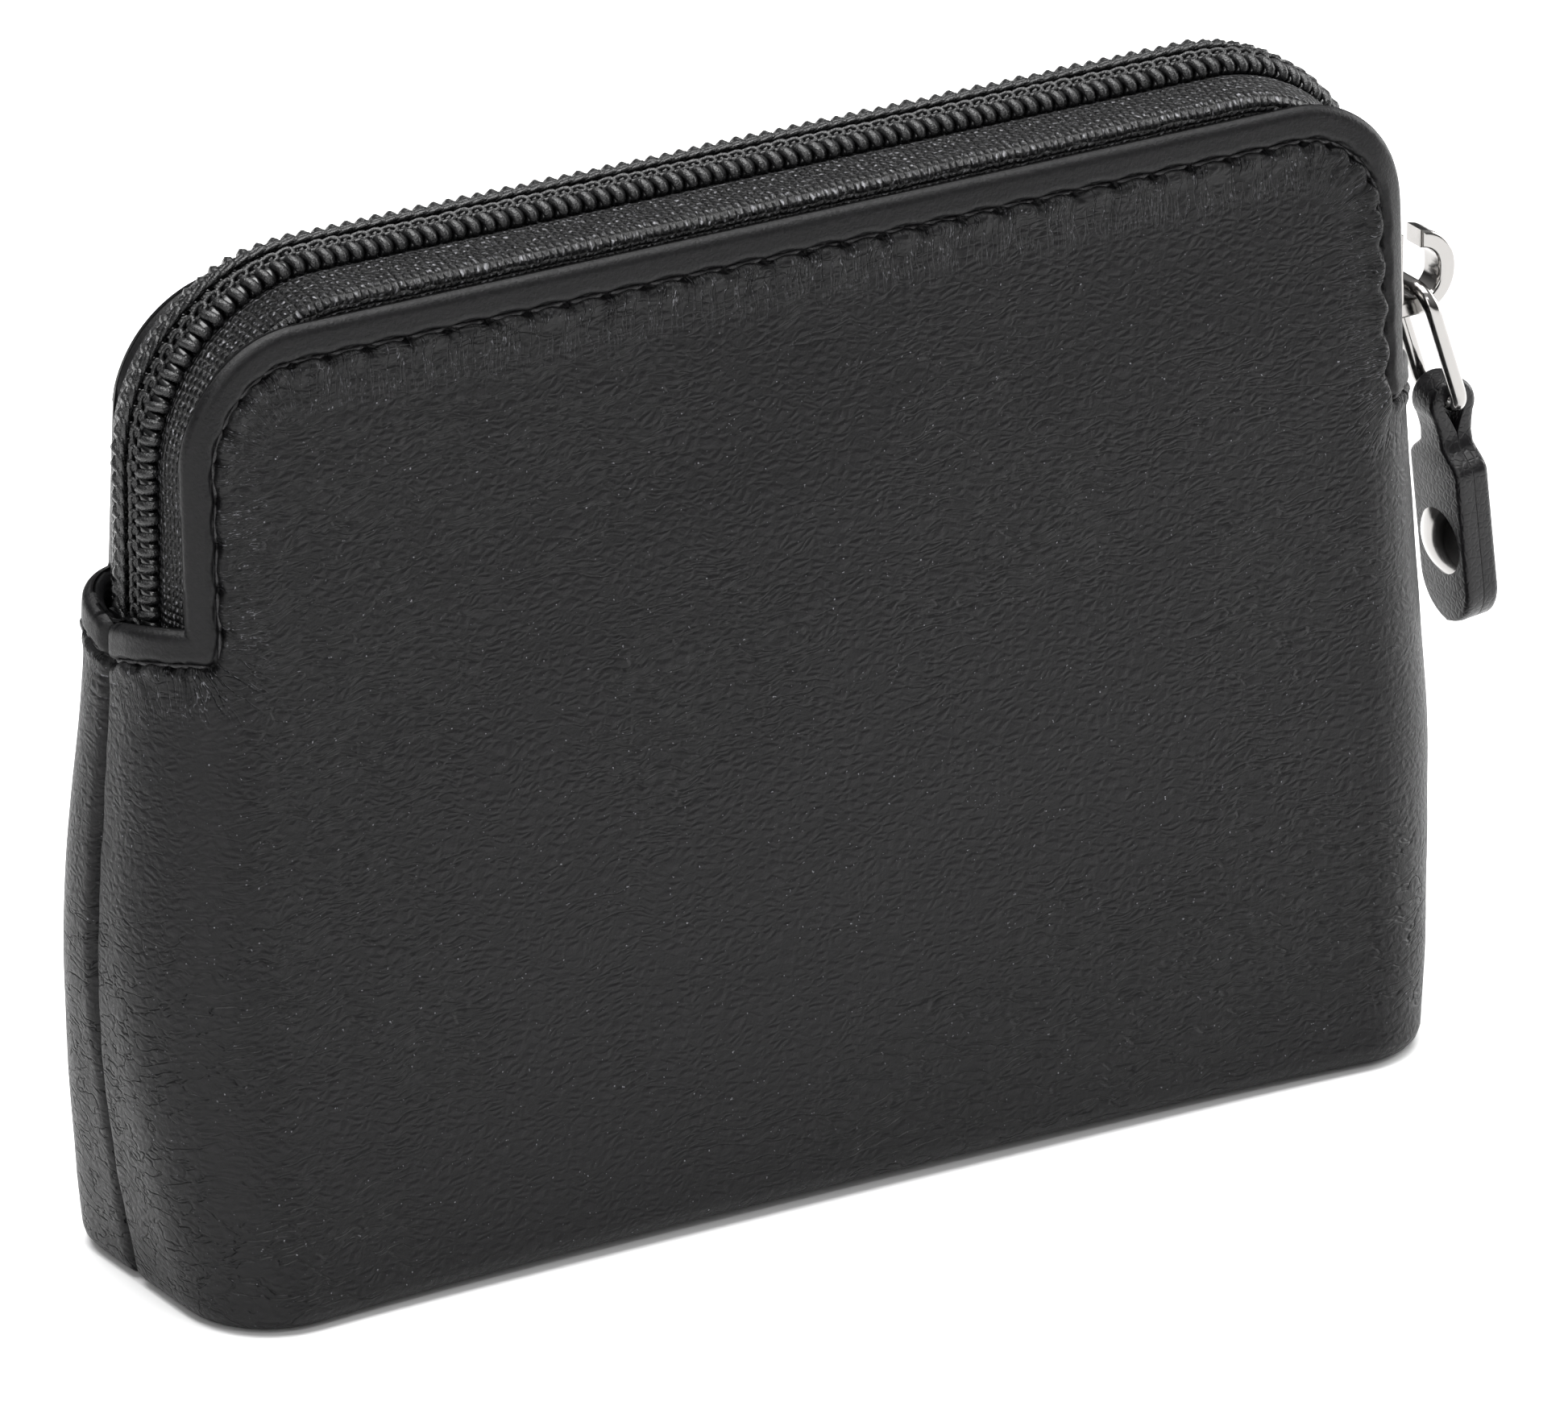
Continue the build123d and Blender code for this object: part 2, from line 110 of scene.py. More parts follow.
def ramp(tree, value, low, high, to_low=0.0, to_high=1.0, ease="LINEAR"):
    """A value carried from one range to another and held at both ends."""
    return add_node(tree, "ShaderNodeMapRange",
                    [("Value", value), ("From Min", low), ("From Max", high), ("To Min", to_low),
                     ("To Max", to_high)], interpolation_type=ease).outputs[0]


def noise_value(tree, vector, scale, detail, roughness=0.5):
    """Noise from 0 to 1."""
    return add_node(tree, "ShaderNodeTexNoise", [("Vector", vector), ("Scale", scale), ("Detail", detail),
                                                 ("Roughness", roughness)]).outputs["Fac"]


def drifted(tree, vector, scale, detail, reach):
    """Coordinates pushed about by slow noise, so that a regular pattern wanders."""
    drift = add_node(tree, "ShaderNodeTexNoise", [("Vector", vector), ("Scale", scale), ("Detail", detail)])
    push = add_node(tree, "ShaderNodeVectorMath", [(0, drift.outputs["Color"]), ("Scale", reach)],
                    operation="SCALE").outputs[0]
    return add_node(tree, "ShaderNodeVectorMath", [(0, vector), (1, push)], operation="ADD").outputs[0]


def mixed(tree, share, first, second):
    """Two colours mixed; each is a hex colour or an output."""
    first, second = (linear(c) if isinstance(c, str) else c for c in (first, second))
    return add_node(tree, "ShaderNodeMix", [("Factor", share), (6, first), (7, second)],
                    data_type="RGBA").outputs[2]


def relief(tree, height, depth, strength=1.0, below=None):
    """A bump normal from a height, depth in metres, on top of another normal where one is given."""
    under = [("Normal", below)] if below else []
    return add_node(tree, "ShaderNodeBump", [("Height", height), ("Distance", depth), ("Strength", strength),
                                             *under]).outputs[0]


def finish_surface(tree, colour, roughness, normal, **more):
    """A principled surface joined to the output; more holds further sockets, underscores for spaces."""
    colour = linear(colour) if isinstance(colour, str) else colour
    rest = [(socket.replace("_", " "), value) for socket, value in more.items()]
    surface = [("Base Color", colour), ("Roughness", roughness), ("Normal", normal), *rest]
    finish_material(tree, add_node(tree, "ShaderNodeBsdfPrincipled", surface))


def mesh_piece(name, vertices, faces, material):
    """A smooth mesh object at the origin, from vertices in millimetres."""
    mesh = bpy.data.meshes.new(name)
    mesh.from_pydata((np.asarray(vertices) * MM).tolist(), [], faces)
    mesh.shade_smooth()
    mesh.materials.append(material)
    piece = bpy.data.objects.new(name, mesh)
    scene.collection.objects.link(piece)
    return piece


sweep_paper, tree = start_material("matte_white_paper")
paper = add_node(tree, "ShaderNodeBsdfPrincipled",
                 [("Base Color", linear("#f7f7f7")), ("Roughness", 0.95), ("Specular IOR Level", 0.05)])
finish_material(tree, paper)
corners = [(x, y, -FLOOR_DROP) for x, y in ((-1, -1), (1, -1), (1, 1), (-1, 1))]
floor = mesh_piece("floor", [(x * FLOOR_HALF, y * FLOOR_HALF, z) for x, y, z in corners], [(0, 1, 2, 3)],
                   sweep_paper)

studio = bpy.data.worlds.new("studio")
studio.use_nodes = True
studio.node_tree.nodes.clear()
direction = add_node(studio.node_tree, "ShaderNodeTexCoord")
height = add_node(studio.node_tree, "ShaderNodeSeparateXYZ", [(0, direction.outputs["Generated"])])
shade = add_node(studio.node_tree, "ShaderNodeMapRange",
                 [("Value", height.outputs["Z"]), ("From Min", 0.05), ("From Max", 0.75),
                  ("To Min", 0.06), ("To Max", 0.55)], interpolation_type="SMOOTHSTEP")
glow = add_node(studio.node_tree, "ShaderNodeBackground", [("Strength", shade.outputs[0])])
add_node(studio.node_tree, "ShaderNodeOutputWorld", [("Surface", glow.outputs[0])])
scene.world = studio
scene.view_settings.view_transform = "Standard"


def soft_box(name, place, aim, width, height, watts):
    """A rectangular light at a place, aimed at a point."""
    light = bpy.data.lights.new(name, "AREA")
    light.shape = "RECTANGLE"
    light.size = width * MM
    light.size_y = height * MM
    light.energy = watts
    lamp = bpy.data.objects.new(name, light)
    lamp.location = Vector(place) * MM
    lamp.rotation_euler = (Vector(aim) - Vector(place)).to_track_quat("-Z", "Y").to_euler()
    scene.collection.objects.link(lamp)


soft_box("overhead_box", (0, 100, 1000), (0, 0, 0), 1100, 900, 24.0)
soft_box("front_left_box", (-700, -700, 420), (0, 0, 40), 420, 600, 3.0)
soft_box("right_box", (800, 60, 200), (50, 0, 30), 500, 500, 5.0)
soft_box("spark_lamp", (-250, -900, 900), (0, 0, 50), 50, 50, 2.5)

CAMERA_AZIMUTH = math.radians(-31.3)
CAMERA_ELEVATION = math.radians(22.5)
CAMERA_DISTANCE = 1500.0
CAMERA_AIM = Vector((8.85, 9.67, 30.2))
CAMERA_LENS = 440.0
backward = Vector((math.sin(CAMERA_AZIMUTH) * math.cos(CAMERA_ELEVATION),
                   -math.cos(CAMERA_AZIMUTH) * math.cos(CAMERA_ELEVATION),
                   math.sin(CAMERA_ELEVATION)))
lens = bpy.data.cameras.new("camera")
lens.sensor_width = 36.0
lens.lens = CAMERA_LENS
lens.clip_end = 20.0
camera = bpy.data.objects.new("camera", lens)
camera.location = (CAMERA_AIM + backward * CAMERA_DISTANCE) * MM
camera.rotation_euler = backward.to_track_quat("Z", "Y").to_euler()
scene.collection.objects.link(camera)
scene.camera = camera


# ---------------------------------------------------------------------------------------------
# Leather bag: two panels of soft black pebbled cowhide, 1.2 mm thick, sewn right sides together
# down each side and under the base, and turned out.  Beside the zip the leather is folded under,
# so its edge is double, rounded, and pressed smoother than the rest.
# ---------------------------------------------------------------------------------------------
LEATHER_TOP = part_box("front_panel")[1][2] / MM
BELLY_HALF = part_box("front_panel")[1][0] / MM
TAPE_RISE = 0.4                                     # zip tape outside the zip's line
ZIP_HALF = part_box("front_zip_tape")[1][0] / MM - TAPE_RISE
EDGE_COVER = 1.8                                    # the front leather reaches past the zip at each side
NOTCH = LEATHER_TOP - 24.2                          # notch at each side seam
NOTCH_RISE = 1.5                                    # its rim climbs this much towards the zip
EDGE_RADIUS = 10.0
BASE_HALF_DEPTH = 15.6
FRONT, BACK = 1.0, 0.75                             # the back swells less than the front
BASE_ROUND = 1.6
SHELL = 1.2                                         # one layer of leather
FOLD_RAISE = 0.3                                    # the folded edge stands this proud
FOLD_RADIUS = 0.85                                  # half the folded edge's thickness
FOLD_WIDTH = 2.6
STITCH_MARGIN = 2.8
STITCH_PITCH = 3.5
SEAM_ROLL = 1.15                                    # radius at which each panel turns into the side seam
HAIR = 1e-6
WALL_SWELL = 0.9                                    # how far the middle of the wall bellies out
CORNER_PUSH = 1.3                                   # how far the lower corners stand out
FOOT_DRAW = 0.5                                     # how far the middle of the foot is drawn in
FOOT_ARCH = 0.9                                     # how far the middle of the foot is lifted

# level above the base, half width, half depth, corner radius
LEVELS = np.array([
    (0.0, BELLY_HALF - 3.3, BASE_HALF_DEPTH, 8.0),
    (25.0, BELLY_HALF, 12.7, 9.3),
    (NOTCH, BELLY_HALF - 1.7, 10.0, 7.6),
    (LEATHER_TOP, BELLY_HALF - 1.4, 7.8, 5.8),
    (LEATHER_TOP + 12.0, BELLY_HALF - 2.0, 7.2, 5.2),
])


def spline(knots, values, x):
    """Natural cubic spline through a few knots, read at x."""
    count = len(knots)
    gaps = np.diff(knots)
    system = np.eye(count)
    right = np.zeros(np.shape(values))
    for i in range(1, count - 1):
        system[i, i - 1:i + 2] = gaps[i - 1], 2 * (gaps[i - 1] + gaps[i]), gaps[i]
        right[i] = 6 * ((values[i + 1] - values[i]) / gaps[i] - (values[i] - values[i - 1]) / gaps[i - 1])
    bend = np.linalg.solve(system, right)
    i = np.clip(np.searchsorted(knots, x) - 1, 0, count - 2)
    gap, left, reach = gaps[i], x - knots[i], knots[i + 1] - x
    if np.ndim(values) > 1:
        gap, left, reach = gap[:, None], left[:, None], reach[:, None]
    return (bend[i] * reach ** 3 + bend[i + 1] * left ** 3) / (6 * gap) \
        + (values[i] / gap - bend[i] * gap / 6) * reach + (values[i + 1] / gap - bend[i + 1] * gap / 6) * left


def section_at(q, fullness):
    """Height, half width, half depth, corner radius and inset at q.

    q runs up the wall from the seam under the base; fullness is the panel's share of the depth.
    """
    q = np.asarray(q, float)
    turn = np.clip((BASE_ROUND - q) / BASE_ROUND, 0, math.pi / 2)
    z = np.where(q >= BASE_ROUND, q, BASE_ROUND * (1 - np.sin(turn)))
    inset = BASE_ROUND * (1 - np.cos(turn)) + np.maximum(BASE_ROUND * (1 - math.pi / 2) - q, 0)
    half_width, half_depth, corner = (spline(LEVELS[:, 0], LEVELS[:, k], z) for k in (1, 2, 3))
    return z, half_width, half_depth * fullness, corner * fullness, inset


def half_length(q, fullness):
    """Length of the section from the front's middle round to the side seam."""
    _, half_width, half_depth, corner, inset = section_at(q, fullness)
    straight = half_width + half_depth - 2 * np.maximum(corner, inset)
    return straight + np.maximum(corner - inset, 0) * math.pi / 2


def body_points(s, q, fullness):
    """Points on the bag's outside: s runs round the section from the front's middle, q up the wall."""
    z, half_width, half_depth, corner, inset = section_at(q, fullness)
    run = np.abs(s)
    radius = np.maximum(corner - inset, HAIR)
    flat = half_width - np.maximum(corner, inset)
    turn = np.clip((run - flat) / radius, 0, math.pi / 2)
    x = np.where(run < flat, run, flat + radius * np.sin(turn))
    y = inset - half_depth + radius * (1 - np.cos(turn)) + np.maximum(run - flat - radius * math.pi / 2, 0)
    level = np.clip(z / LEATHER_TOP, 0, 1)
    across = np.clip(x / BELLY_HALF, 0, 1)
    front_share = np.clip(-y / np.maximum(half_depth, 1), 0, 1)
    swell = WALL_SWELL * np.sin(math.pi * level) * (1 - across ** 2) ** 1.5
    corner_push = CORNER_PUSH * across ** 6 * np.exp(-z / 14)
    corner_push = corner_push - FOOT_DRAW * (1 - across ** 2) * np.exp(-z / 16)
    arch = FOOT_ARCH * (1 - across ** 2.5) * np.exp(-z / 9) * front_share ** 2
    y = np.minimum(y - (swell + corner_push) * front_share, 0)
    return np.stack([np.sign(s) * x, y, z + arch], axis=-1)


def body_normals(s, q, fullness):
    """Outward unit normals of the bag's outside."""
    step = 0.05
    along = body_points(s + step, q, fullness) - body_points(s - step, q, fullness)
    up = body_points(s, q + step, fullness) - body_points(s, q - step, fullness)
    normal = np.cross(along, up)
    return normal / np.maximum(np.linalg.norm(normal, axis=-1, keepdims=True), HAIR)


def section_run(x, z, fullness):
    """The s of the point that is at x when seen from the front, at height z on the wall."""
    x, z = np.atleast_1d(np.asarray(x, float)), np.atleast_1d(np.asarray(z, float))
    _, half_width, _, corner, _ = section_at(z, fullness)
    flat = half_width - corner
    over = np.clip((np.abs(x) - flat) / corner, 0, 1)
    return np.sign(x) * np.where(np.abs(x) < flat, np.abs(x), flat + corner * np.arcsin(over))


def path_steps(points):
    """Distance run along a polyline at each of its points."""
    return np.r_[0, np.cumsum(np.linalg.norm(np.diff(points, axis=0), axis=1))]


def even_points(points, spacing):
    """Points evenly spaced along a polyline."""
    points = np.asarray(points, float)
    steps = path_steps(points)
    even = np.linspace(0, steps[-1], max(int(round(steps[-1] / spacing)), 2) + 1)
    return np.stack([np.interp(even, steps, points[:, k]) for k in range(points.shape[1])], axis=1)


CORNER_RUN = 2 * STITCH_MARGIN                       # extra stitching round each square notch corner
MIRROR = np.array([-1.0, 1.0])


class ZipEdge:
    """A panel's edge beside the zip in (s, q).

    It runs along the left notch's rim from the seam, up the side, over the top and back down.
    """

    def __init__(self, fullness, half):
        self.fullness = fullness
        nook_q = NOTCH + NOTCH_RISE
        nook_s = section_run(half, nook_q, fullness)[0]
        share = np.linspace(0, 1, 14)
        rim = np.stack([-half_length(NOTCH, fullness) * (1 - share) - nook_s * share,
                        nook_q - NOTCH_RISE * (1 - share) ** 1.7], axis=1)
        self.rim = even_points(rim, 0.35)
        turn = np.linspace(0, math.pi / 2, 40)
        x = np.r_[np.full(12, -half), -half + EDGE_RADIUS * (1 - np.cos(turn)), 0.0]
        z = np.r_[np.linspace(nook_q, LEATHER_TOP - EDGE_RADIUS - 0.5, 12),
                  LEATHER_TOP - EDGE_RADIUS + EDGE_RADIUS * np.sin(turn), LEATHER_TOP]
        climb = even_points(np.stack([section_run(x, z, fullness), z], axis=1), 0.35)
        left = np.concatenate([self.rim, climb[1:]])
        self.line = np.concatenate([left, left[-2::-1] * MIRROR])
        self.nooks = ((len(self.rim) - 1, 1), (len(self.line) - len(self.rim), -1))
        tangent = np.gradient(self.line, axis=0)
        for nook, side in self.nooks:
            tangent[nook] = side * (self.line[nook + side] - self.line[nook])
        tangent /= np.linalg.norm(tangent, axis=1, keepdims=True)
        self.inward = np.stack([tangent[:, 1], -tangent[:, 0]], axis=1)
        index = np.arange(len(self.line))
        passed = (index >= self.nooks[0][0]) * 1.0 + (index > self.nooks[1][0])
        self.run = path_steps(self.line) + CORNER_RUN * passed

    def corner_start(self, nook, side):
        """The stitching's run where it starts round a notch corner."""
        return self.run[nook] - (CORNER_RUN if side > 0 else 0)

    def measure(self, points):
        """Distance in from the edge, and the stitching's run along it, for points in (s, q)."""
        distance = np.empty(len(points))
        run = np.empty(len(points))
        for start in range(0, len(points), 4000):
            part = points[start:start + 4000]
            gaps = np.linalg.norm(part[:, None, :] - self.line[None, :, :], axis=2)
            nearest = gaps.argmin(axis=1)
            distance[start:start + 4000] = gaps[np.arange(len(part)), nearest]
            run[start:start + 4000] = self.run[nearest]
        for nook, side in self.nooks:
            offset = (points - self.line[nook]) * (side, -1)
            square = (offset[:, 0] > 0) & (offset[:, 1] > 0) & (offset.max(axis=1) < 12)
            across, down = offset[square].T
            distance[square] = (across ** 5 + down ** 5) ** (1 / 5)
            lean = (across - down) / np.maximum(np.maximum(across, down), HAIR) * side
            run[square] = self.corner_start(nook, side) + CORNER_RUN * (0.5 + 0.5 * lean)
        return distance, run

    def offset(self, inward):
        """The line at a distance in from the edge, with its run, square round the notch corners."""
        line = self.line + self.inward * inward
        pieces, runs = [], []
        last = 0
        for nook, side in self.nooks:
            turn = np.linspace(0, math.pi / 2, 17)
            size = (np.cos(turn) ** 5 + np.sin(turn) ** 5) ** (-1 / 5) * inward
            legs = np.stack([size * np.sin(turn), size * np.cos(turn)], axis=1)
            corner = self.line[nook] + (legs if side > 0 else legs[::-1]) * (side, -1)
            pieces += [line[last:nook], corner]
            round_corner = self.corner_start(nook, side) + np.linspace(0, CORNER_RUN, len(corner))
            runs += [self.run[last:nook], round_corner]
            last = nook + 1
        return np.concatenate(pieces + [line[last:]]), np.concatenate(runs + [self.run[last:]])


def smooth_noise(points, size, seed):
    """Smooth noise from -1 to 1 at 3-D points; size is the width of its waves."""
    return np.array([noise.noise(Vector((p[0] / size[0] + seed, p[1] / size[1], p[2] / size[2])))
                     for p in points])


def stitch_waver(run):
    """The topstitching lies a little deeper in the leather's face at each needle hole."""
    return STITCH_MARGIN + 0.42 * (0.5 - np.abs(np.sin(math.pi * run / STITCH_PITCH)))


def relief_at(edge, points, places, distance, run, seed):
    """How far the leather stands off the plain form: folded edge, stitch pucker, seam roll and soft waves."""
    fold = np.clip((FOLD_WIDTH + 0.15 - distance) / 0.5, 0, 1)
    relief = FOLD_RAISE * fold * fold * (3 - 2 * fold)
    turned = np.clip(FOLD_RADIUS - distance, 0, FOLD_RADIUS)
    relief -= FOLD_RADIUS - np.sqrt(FOLD_RADIUS ** 2 - turned ** 2)
    beyond = distance - stitch_waver(run)
    hole = np.cos(math.pi * run / STITCH_PITCH) ** 8
    relief -= (0.42 + 0.40 * hole) * np.exp(-(beyond / 0.24) ** 2)
    past = np.clip(beyond, 0, None)
    pillow = np.sin(math.pi * run / STITCH_PITCH) ** 2
    relief += np.where(beyond > 0, (0.12 + 0.32 * pillow) * np.exp(-((past - 0.75) / 0.7) ** 2), 0)
    pleat = smooth_noise(np.stack([run, past, np.zeros(len(run))], axis=1), (1.0, 5.0, 1.0), seed)
    relief += np.where(beyond > 0, 0.26 * pleat * np.exp(-past / 2.6) * np.clip(past / 0.5, 0, 1), 0)
    to_seam = half_length(points[:, 1], edge.fullness) - np.abs(points[:, 0])
    roll = np.clip(SEAM_ROLL - to_seam, 0, SEAM_ROLL)
    beside_seam = np.stack([points[:, 1], points[:, 1], to_seam], axis=1)
    pinch = 0.12 * smooth_noise(beside_seam, (2.2, 9.0, 2.0), seed + 5)
    relief += pinch * np.exp(-to_seam / 1.6) * np.clip(to_seam / 0.4, 0, 1)
    relief -= SEAM_ROLL - np.sqrt(SEAM_ROLL ** 2 - roll ** 2)
    soft = 0.30 * smooth_noise(places, (30.0, 26.0, 22.0), seed + 3) \
        + 0.07 * smooth_noise(places, (11.0, 8.0, 6.0), seed + 7)
    return relief + soft * np.clip(distance / 9.0, 0, 1) * np.clip(places[:, 2] / 6.0, 0, 1)


EDGE_ROWS = (0.04, 0.12, 0.25, 0.42, 0.62, 0.85, 1.15, 1.5, 1.85, 2.15, 2.4, 2.6, 2.75, 2.9, 3.05, 3.25,
             3.5, 3.8, 4.15, 4.55, 5.0, 5.5)


def base_centre(fullness):
    """The q of the seam under the base."""
    return BASE_ROUND * (2 - math.pi / 2) - BASE_HALF_DEPTH * fullness


def panel_points(edge, spacing):
    """A panel's outline and the points that fill it, in (s, q)."""
    fullness = edge.fullness
    low = base_centre(fullness)
    seam_q = even_points([(0, NOTCH), (0, low)], spacing)[1:-1, 1]
    seam = np.stack([half_length(seam_q, fullness), seam_q], axis=1)
    base_half = float(half_length(low, fullness))
    base = even_points([(base_half, low), (-base_half, low)], spacing)
    outline = np.concatenate([edge.line, seam, base, seam[::-1] * MIRROR])
    fill = [edge.offset(inward)[0] for inward in EDGE_ROWS]
    strips = len(np.concatenate(fill))
    for number, q in enumerate(np.arange(low + spacing, LEATHER_TOP - 5, spacing * 0.87)):
        reach = float(half_length(q, fullness)) - 1.6
        columns = np.arange(-reach + 0.5 * spacing * (number % 2), reach, spacing)
        fill.append(np.stack([columns, np.full(len(columns), q)], axis=1))
    fill = np.concatenate(fill)
    distance, _ = edge.measure(fill)
    nook_s, nook_q = -edge.rim[-1, 0], edge.rim[-1, 1]
    above = (fill[:, 1] > nook_q - 0.1) & (np.abs(fill[:, 0]) > nook_s - 0.3)
    nominal = np.r_[np.ones(strips, bool), distance[strips:] > EDGE_ROWS[-1] + 0.3]
    to_seam = half_length(fill[:, 1], fullness) - np.abs(fill[:, 0])
    fill = fill[(to_seam > 1.45) & ~above & nominal & (distance > 0.02)]
    seam_fill = []
    for inward in (0.06, 0.16, 0.3, 0.48, 0.7, 0.95, 1.22):
        for rows in (np.arange(low + 1.0, NOTCH - 5.6, spacing), np.arange(NOTCH - 5.4, NOTCH + 0.6, 0.33)):
            seam_fill.append(np.stack([half_length(rows, fullness) - inward, rows], axis=1))
    seam_fill = np.concatenate(seam_fill)
    rim_height = np.interp(seam_fill[:, 0], -edge.rim[::-1, 0], edge.rim[::-1, 1])
    seam_fill = seam_fill[seam_fill[:, 1] < rim_height - 0.05]
    return outline, np.concatenate([fill, seam_fill, seam_fill * MIRROR])


def leather_panel(name, edge, facing, seed, spacing, material):
    """One panel; facing is 1 for the front, and -1 for the back, which is turned round."""
    outline, fill = panel_points(edge, spacing)
    result = delaunay_2d_cdt([Vector(p) for p in np.concatenate([outline, fill])], [],
                             [list(range(len(outline)))], 1, 1e-5)
    flat = np.array([tuple(v) for v in result[0]])
    triangles = [tuple(face) for face in result[2]]
    rim_index = [0] * len(outline)
    for new, olds in enumerate(result[3]):
        for old in olds:
            if old < len(outline):
                rim_index[old] = new
    distance, run = edge.measure(flat)
    places = body_points(flat[:, 0], flat[:, 1], edge.fullness)
    normals = body_normals(flat[:, 0], flat[:, 1], edge.fullness)
    outer = places + normals * relief_at(edge, flat, places, distance, run, seed)[:, None]
    fold = np.clip((FOLD_WIDTH + 0.15 - distance) / 0.5, 0, 1)
    turned = np.clip(FOLD_RADIUS - distance, 0, FOLD_RADIUS)
    depth = FOLD_RAISE * fold - SHELL - (2 * FOLD_RADIUS - SHELL) * fold \
        + FOLD_RADIUS - np.sqrt(FOLD_RADIUS ** 2 - turned ** 2)
    inner = places + normals * depth[:, None]
    inner[:, 1] = np.minimum(inner[:, 1], 0)
    outer[:, 1] = np.minimum(outer[:, 1], 0)
    count = len(flat)
    faces = triangles + [(c + count, b + count, a + count) for a, b, c in triangles]
    for i, here in enumerate(rim_index):
        there = rim_index[(i + 1) % len(rim_index)]
        faces.append((there, here, here + count, there + count))
    vertices = np.concatenate([outer, inner])
    if facing < 0:
        vertices = vertices * (1, -1, 1)
        faces = [tuple(reversed(face)) for face in faces]
    piece = mesh_piece(name, vertices, faces, material)
    for label, values in (("edge_distance", distance), ("edge_run", run)):
        attribute = piece.data.attributes.new(label, "FLOAT", "POINT")
        attribute.data.foreach_set("value", np.concatenate([values, values]))
    return piece


def off_middle(tree, value):
    """How far noise is from its middle value: nought along winding lines."""
    return maths(tree, "ABSOLUTE", maths(tree, "SUBTRACT", value, 0.5))


def leather_material(name, face_hex, valley_shade_hex, glint_hex, pebble):
    """Cowhide coloured in the drum: a dull black dye coat over soft pebbled grain, with painted shade in the
    grain's valleys and painted highlight specks on the grain and along the pleats.

    pebble scales the grain, which is ironed flat on the folded edge.
    """
    material, tree = start_material(name)
    in_mm = object_mm(tree)
    distance, run = (add_node(tree, "ShaderNodeAttribute", attribute_name=label).outputs["Fac"]
                     for label in ("edge_distance", "edge_run"))
    open_hide = ramp(tree, distance, FOLD_WIDTH - 0.1, FOLD_WIDTH + 0.9)
    warped = drifted(tree, in_mm, 0.22, 2.0, 2.2)

    # pebbles about 1.2 by 0.7 mm, wider than tall, as this hide was stretched on the width
    stretched = placed(tree, warped, (0.85, 1.0, 1.5))
    cells = add_node(tree, "ShaderNodeTexVoronoi",
                     [("Vector", stretched), ("Scale", 1.0), ("Randomness", 1.0)],
                     feature="DISTANCE_TO_EDGE").outputs["Distance"]
    valley = ramp(tree, cells, 0.0, 0.42, ease="SMOOTHSTEP")
    pores = noise_value(tree, in_mm, 3.6, 3.0, 0.65)

    # long soft creases, 2 mm apart, that lean up to the right and come and go
    lean = placed(tree, warped, (0.13, 0.3, 0.62), (0, math.radians(14), 0))
    crease_ridge = off_middle(tree, noise_value(tree, lean, 1.0, 2.5, 0.55))
    crease = ramp(tree, crease_ridge, 0.0, 0.035, ease="SMOOTHSTEP")
    creased = ramp(tree, noise_value(tree, in_mm, 0.045, 1.0), 0.45, 0.62, ease="SMOOTHSTEP")
    creased_here = maths(tree, "MULTIPLY", creased, open_hide)

    # hairline pleats that run down from the stitching, a millimetre apart
    pleat_place = add_node(tree, "ShaderNodeCombineXYZ", [("X", run), ("Y", distance)]).outputs[0]
    pleat_place = placed(tree, pleat_place, (1.1, 0.16, 1.0))
    pleat_ridge = off_middle(tree, noise_value(tree, pleat_place, 1.0, 3.0, 0.6))
    near_stitching = ramp(tree, distance, 8.5, 3.2, ease="SMOOTHSTEP")
    pleated = maths(tree, "MULTIPLY", near_stitching, open_hide)

    normal = relief(tree, pores, 0.00012, 0.5)
    normal = relief(tree, valley, 0.00009, maths(tree, "MULTIPLY", open_hide, pebble), normal)
    normal = relief(tree, crease, 0.00016, creased_here, normal)
    normal = relief(tree, ramp(tree, pleat_ridge, 0.0, 0.05, ease="SMOOTHSTEP"), 0.00022, pleated, normal)

    # painted highlight specks on the grain and painted highlight hairlines along the pleats: lightened colour
    # standing in for glints
    speck_noise = noise_value(tree, in_mm, 3.6, 1.0)
    pleat_glint = maths(tree, "MULTIPLY", ramp(tree, pleat_ridge, 0.010, 0.0), pleated)
    broken_glint = maths(tree, "MULTIPLY", pleat_glint, ramp(tree, speck_noise, 0.45, 0.62))
    glints = maths(tree, "MAXIMUM", ramp(tree, speck_noise, 0.74, 0.82), broken_glint)
    # grain colour: the valleys take a darker colour, painted shade in the grain's recesses
    shaded_grain_colour = mixed(tree, valley, valley_shade_hex, face_hex)
    colour = mixed(tree, maths(tree, "MULTIPLY", glints, open_hide), shaded_grain_colour, glint_hex)
    finish_surface(tree, colour, ramp(tree, pores, 0.3, 0.7, 0.38, 0.56), normal, Specular_IOR_Level=0.22)
    return material


# second colour: painted shade of the grain valleys; third colour: painted highlight of the specks and pleat
# lines
leather = leather_material("pebbled_black_cowhide", "#0c0b0d", "#070708", "#6e6e72", 0.6)
SPACING = 0.72
front_edge, back_edge = ZipEdge(FRONT, ZIP_HALF + EDGE_COVER), ZipEdge(BACK, ZIP_HALF)
front_leather = leather_panel("front_leather", front_edge, 1, 11.0, SPACING, leather)
back_leather = leather_panel("back_leather", back_edge, -1, 47.0, SPACING, leather)
for piece, node in ((front_leather, "front_panel"), (back_leather, "back_panel")):
    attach(piece, "purse")
    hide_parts(node)


# ---------------------------------------------------------------------------------------------
# Topstitching: one row of black bonded polyester thread through leather, tape and lining, 3.5 mm
# a stitch, pulled so tight that each stitch lies sunk in its own crease.
# ---------------------------------------------------------------------------------------------
THREAD_RADIUS = 0.2


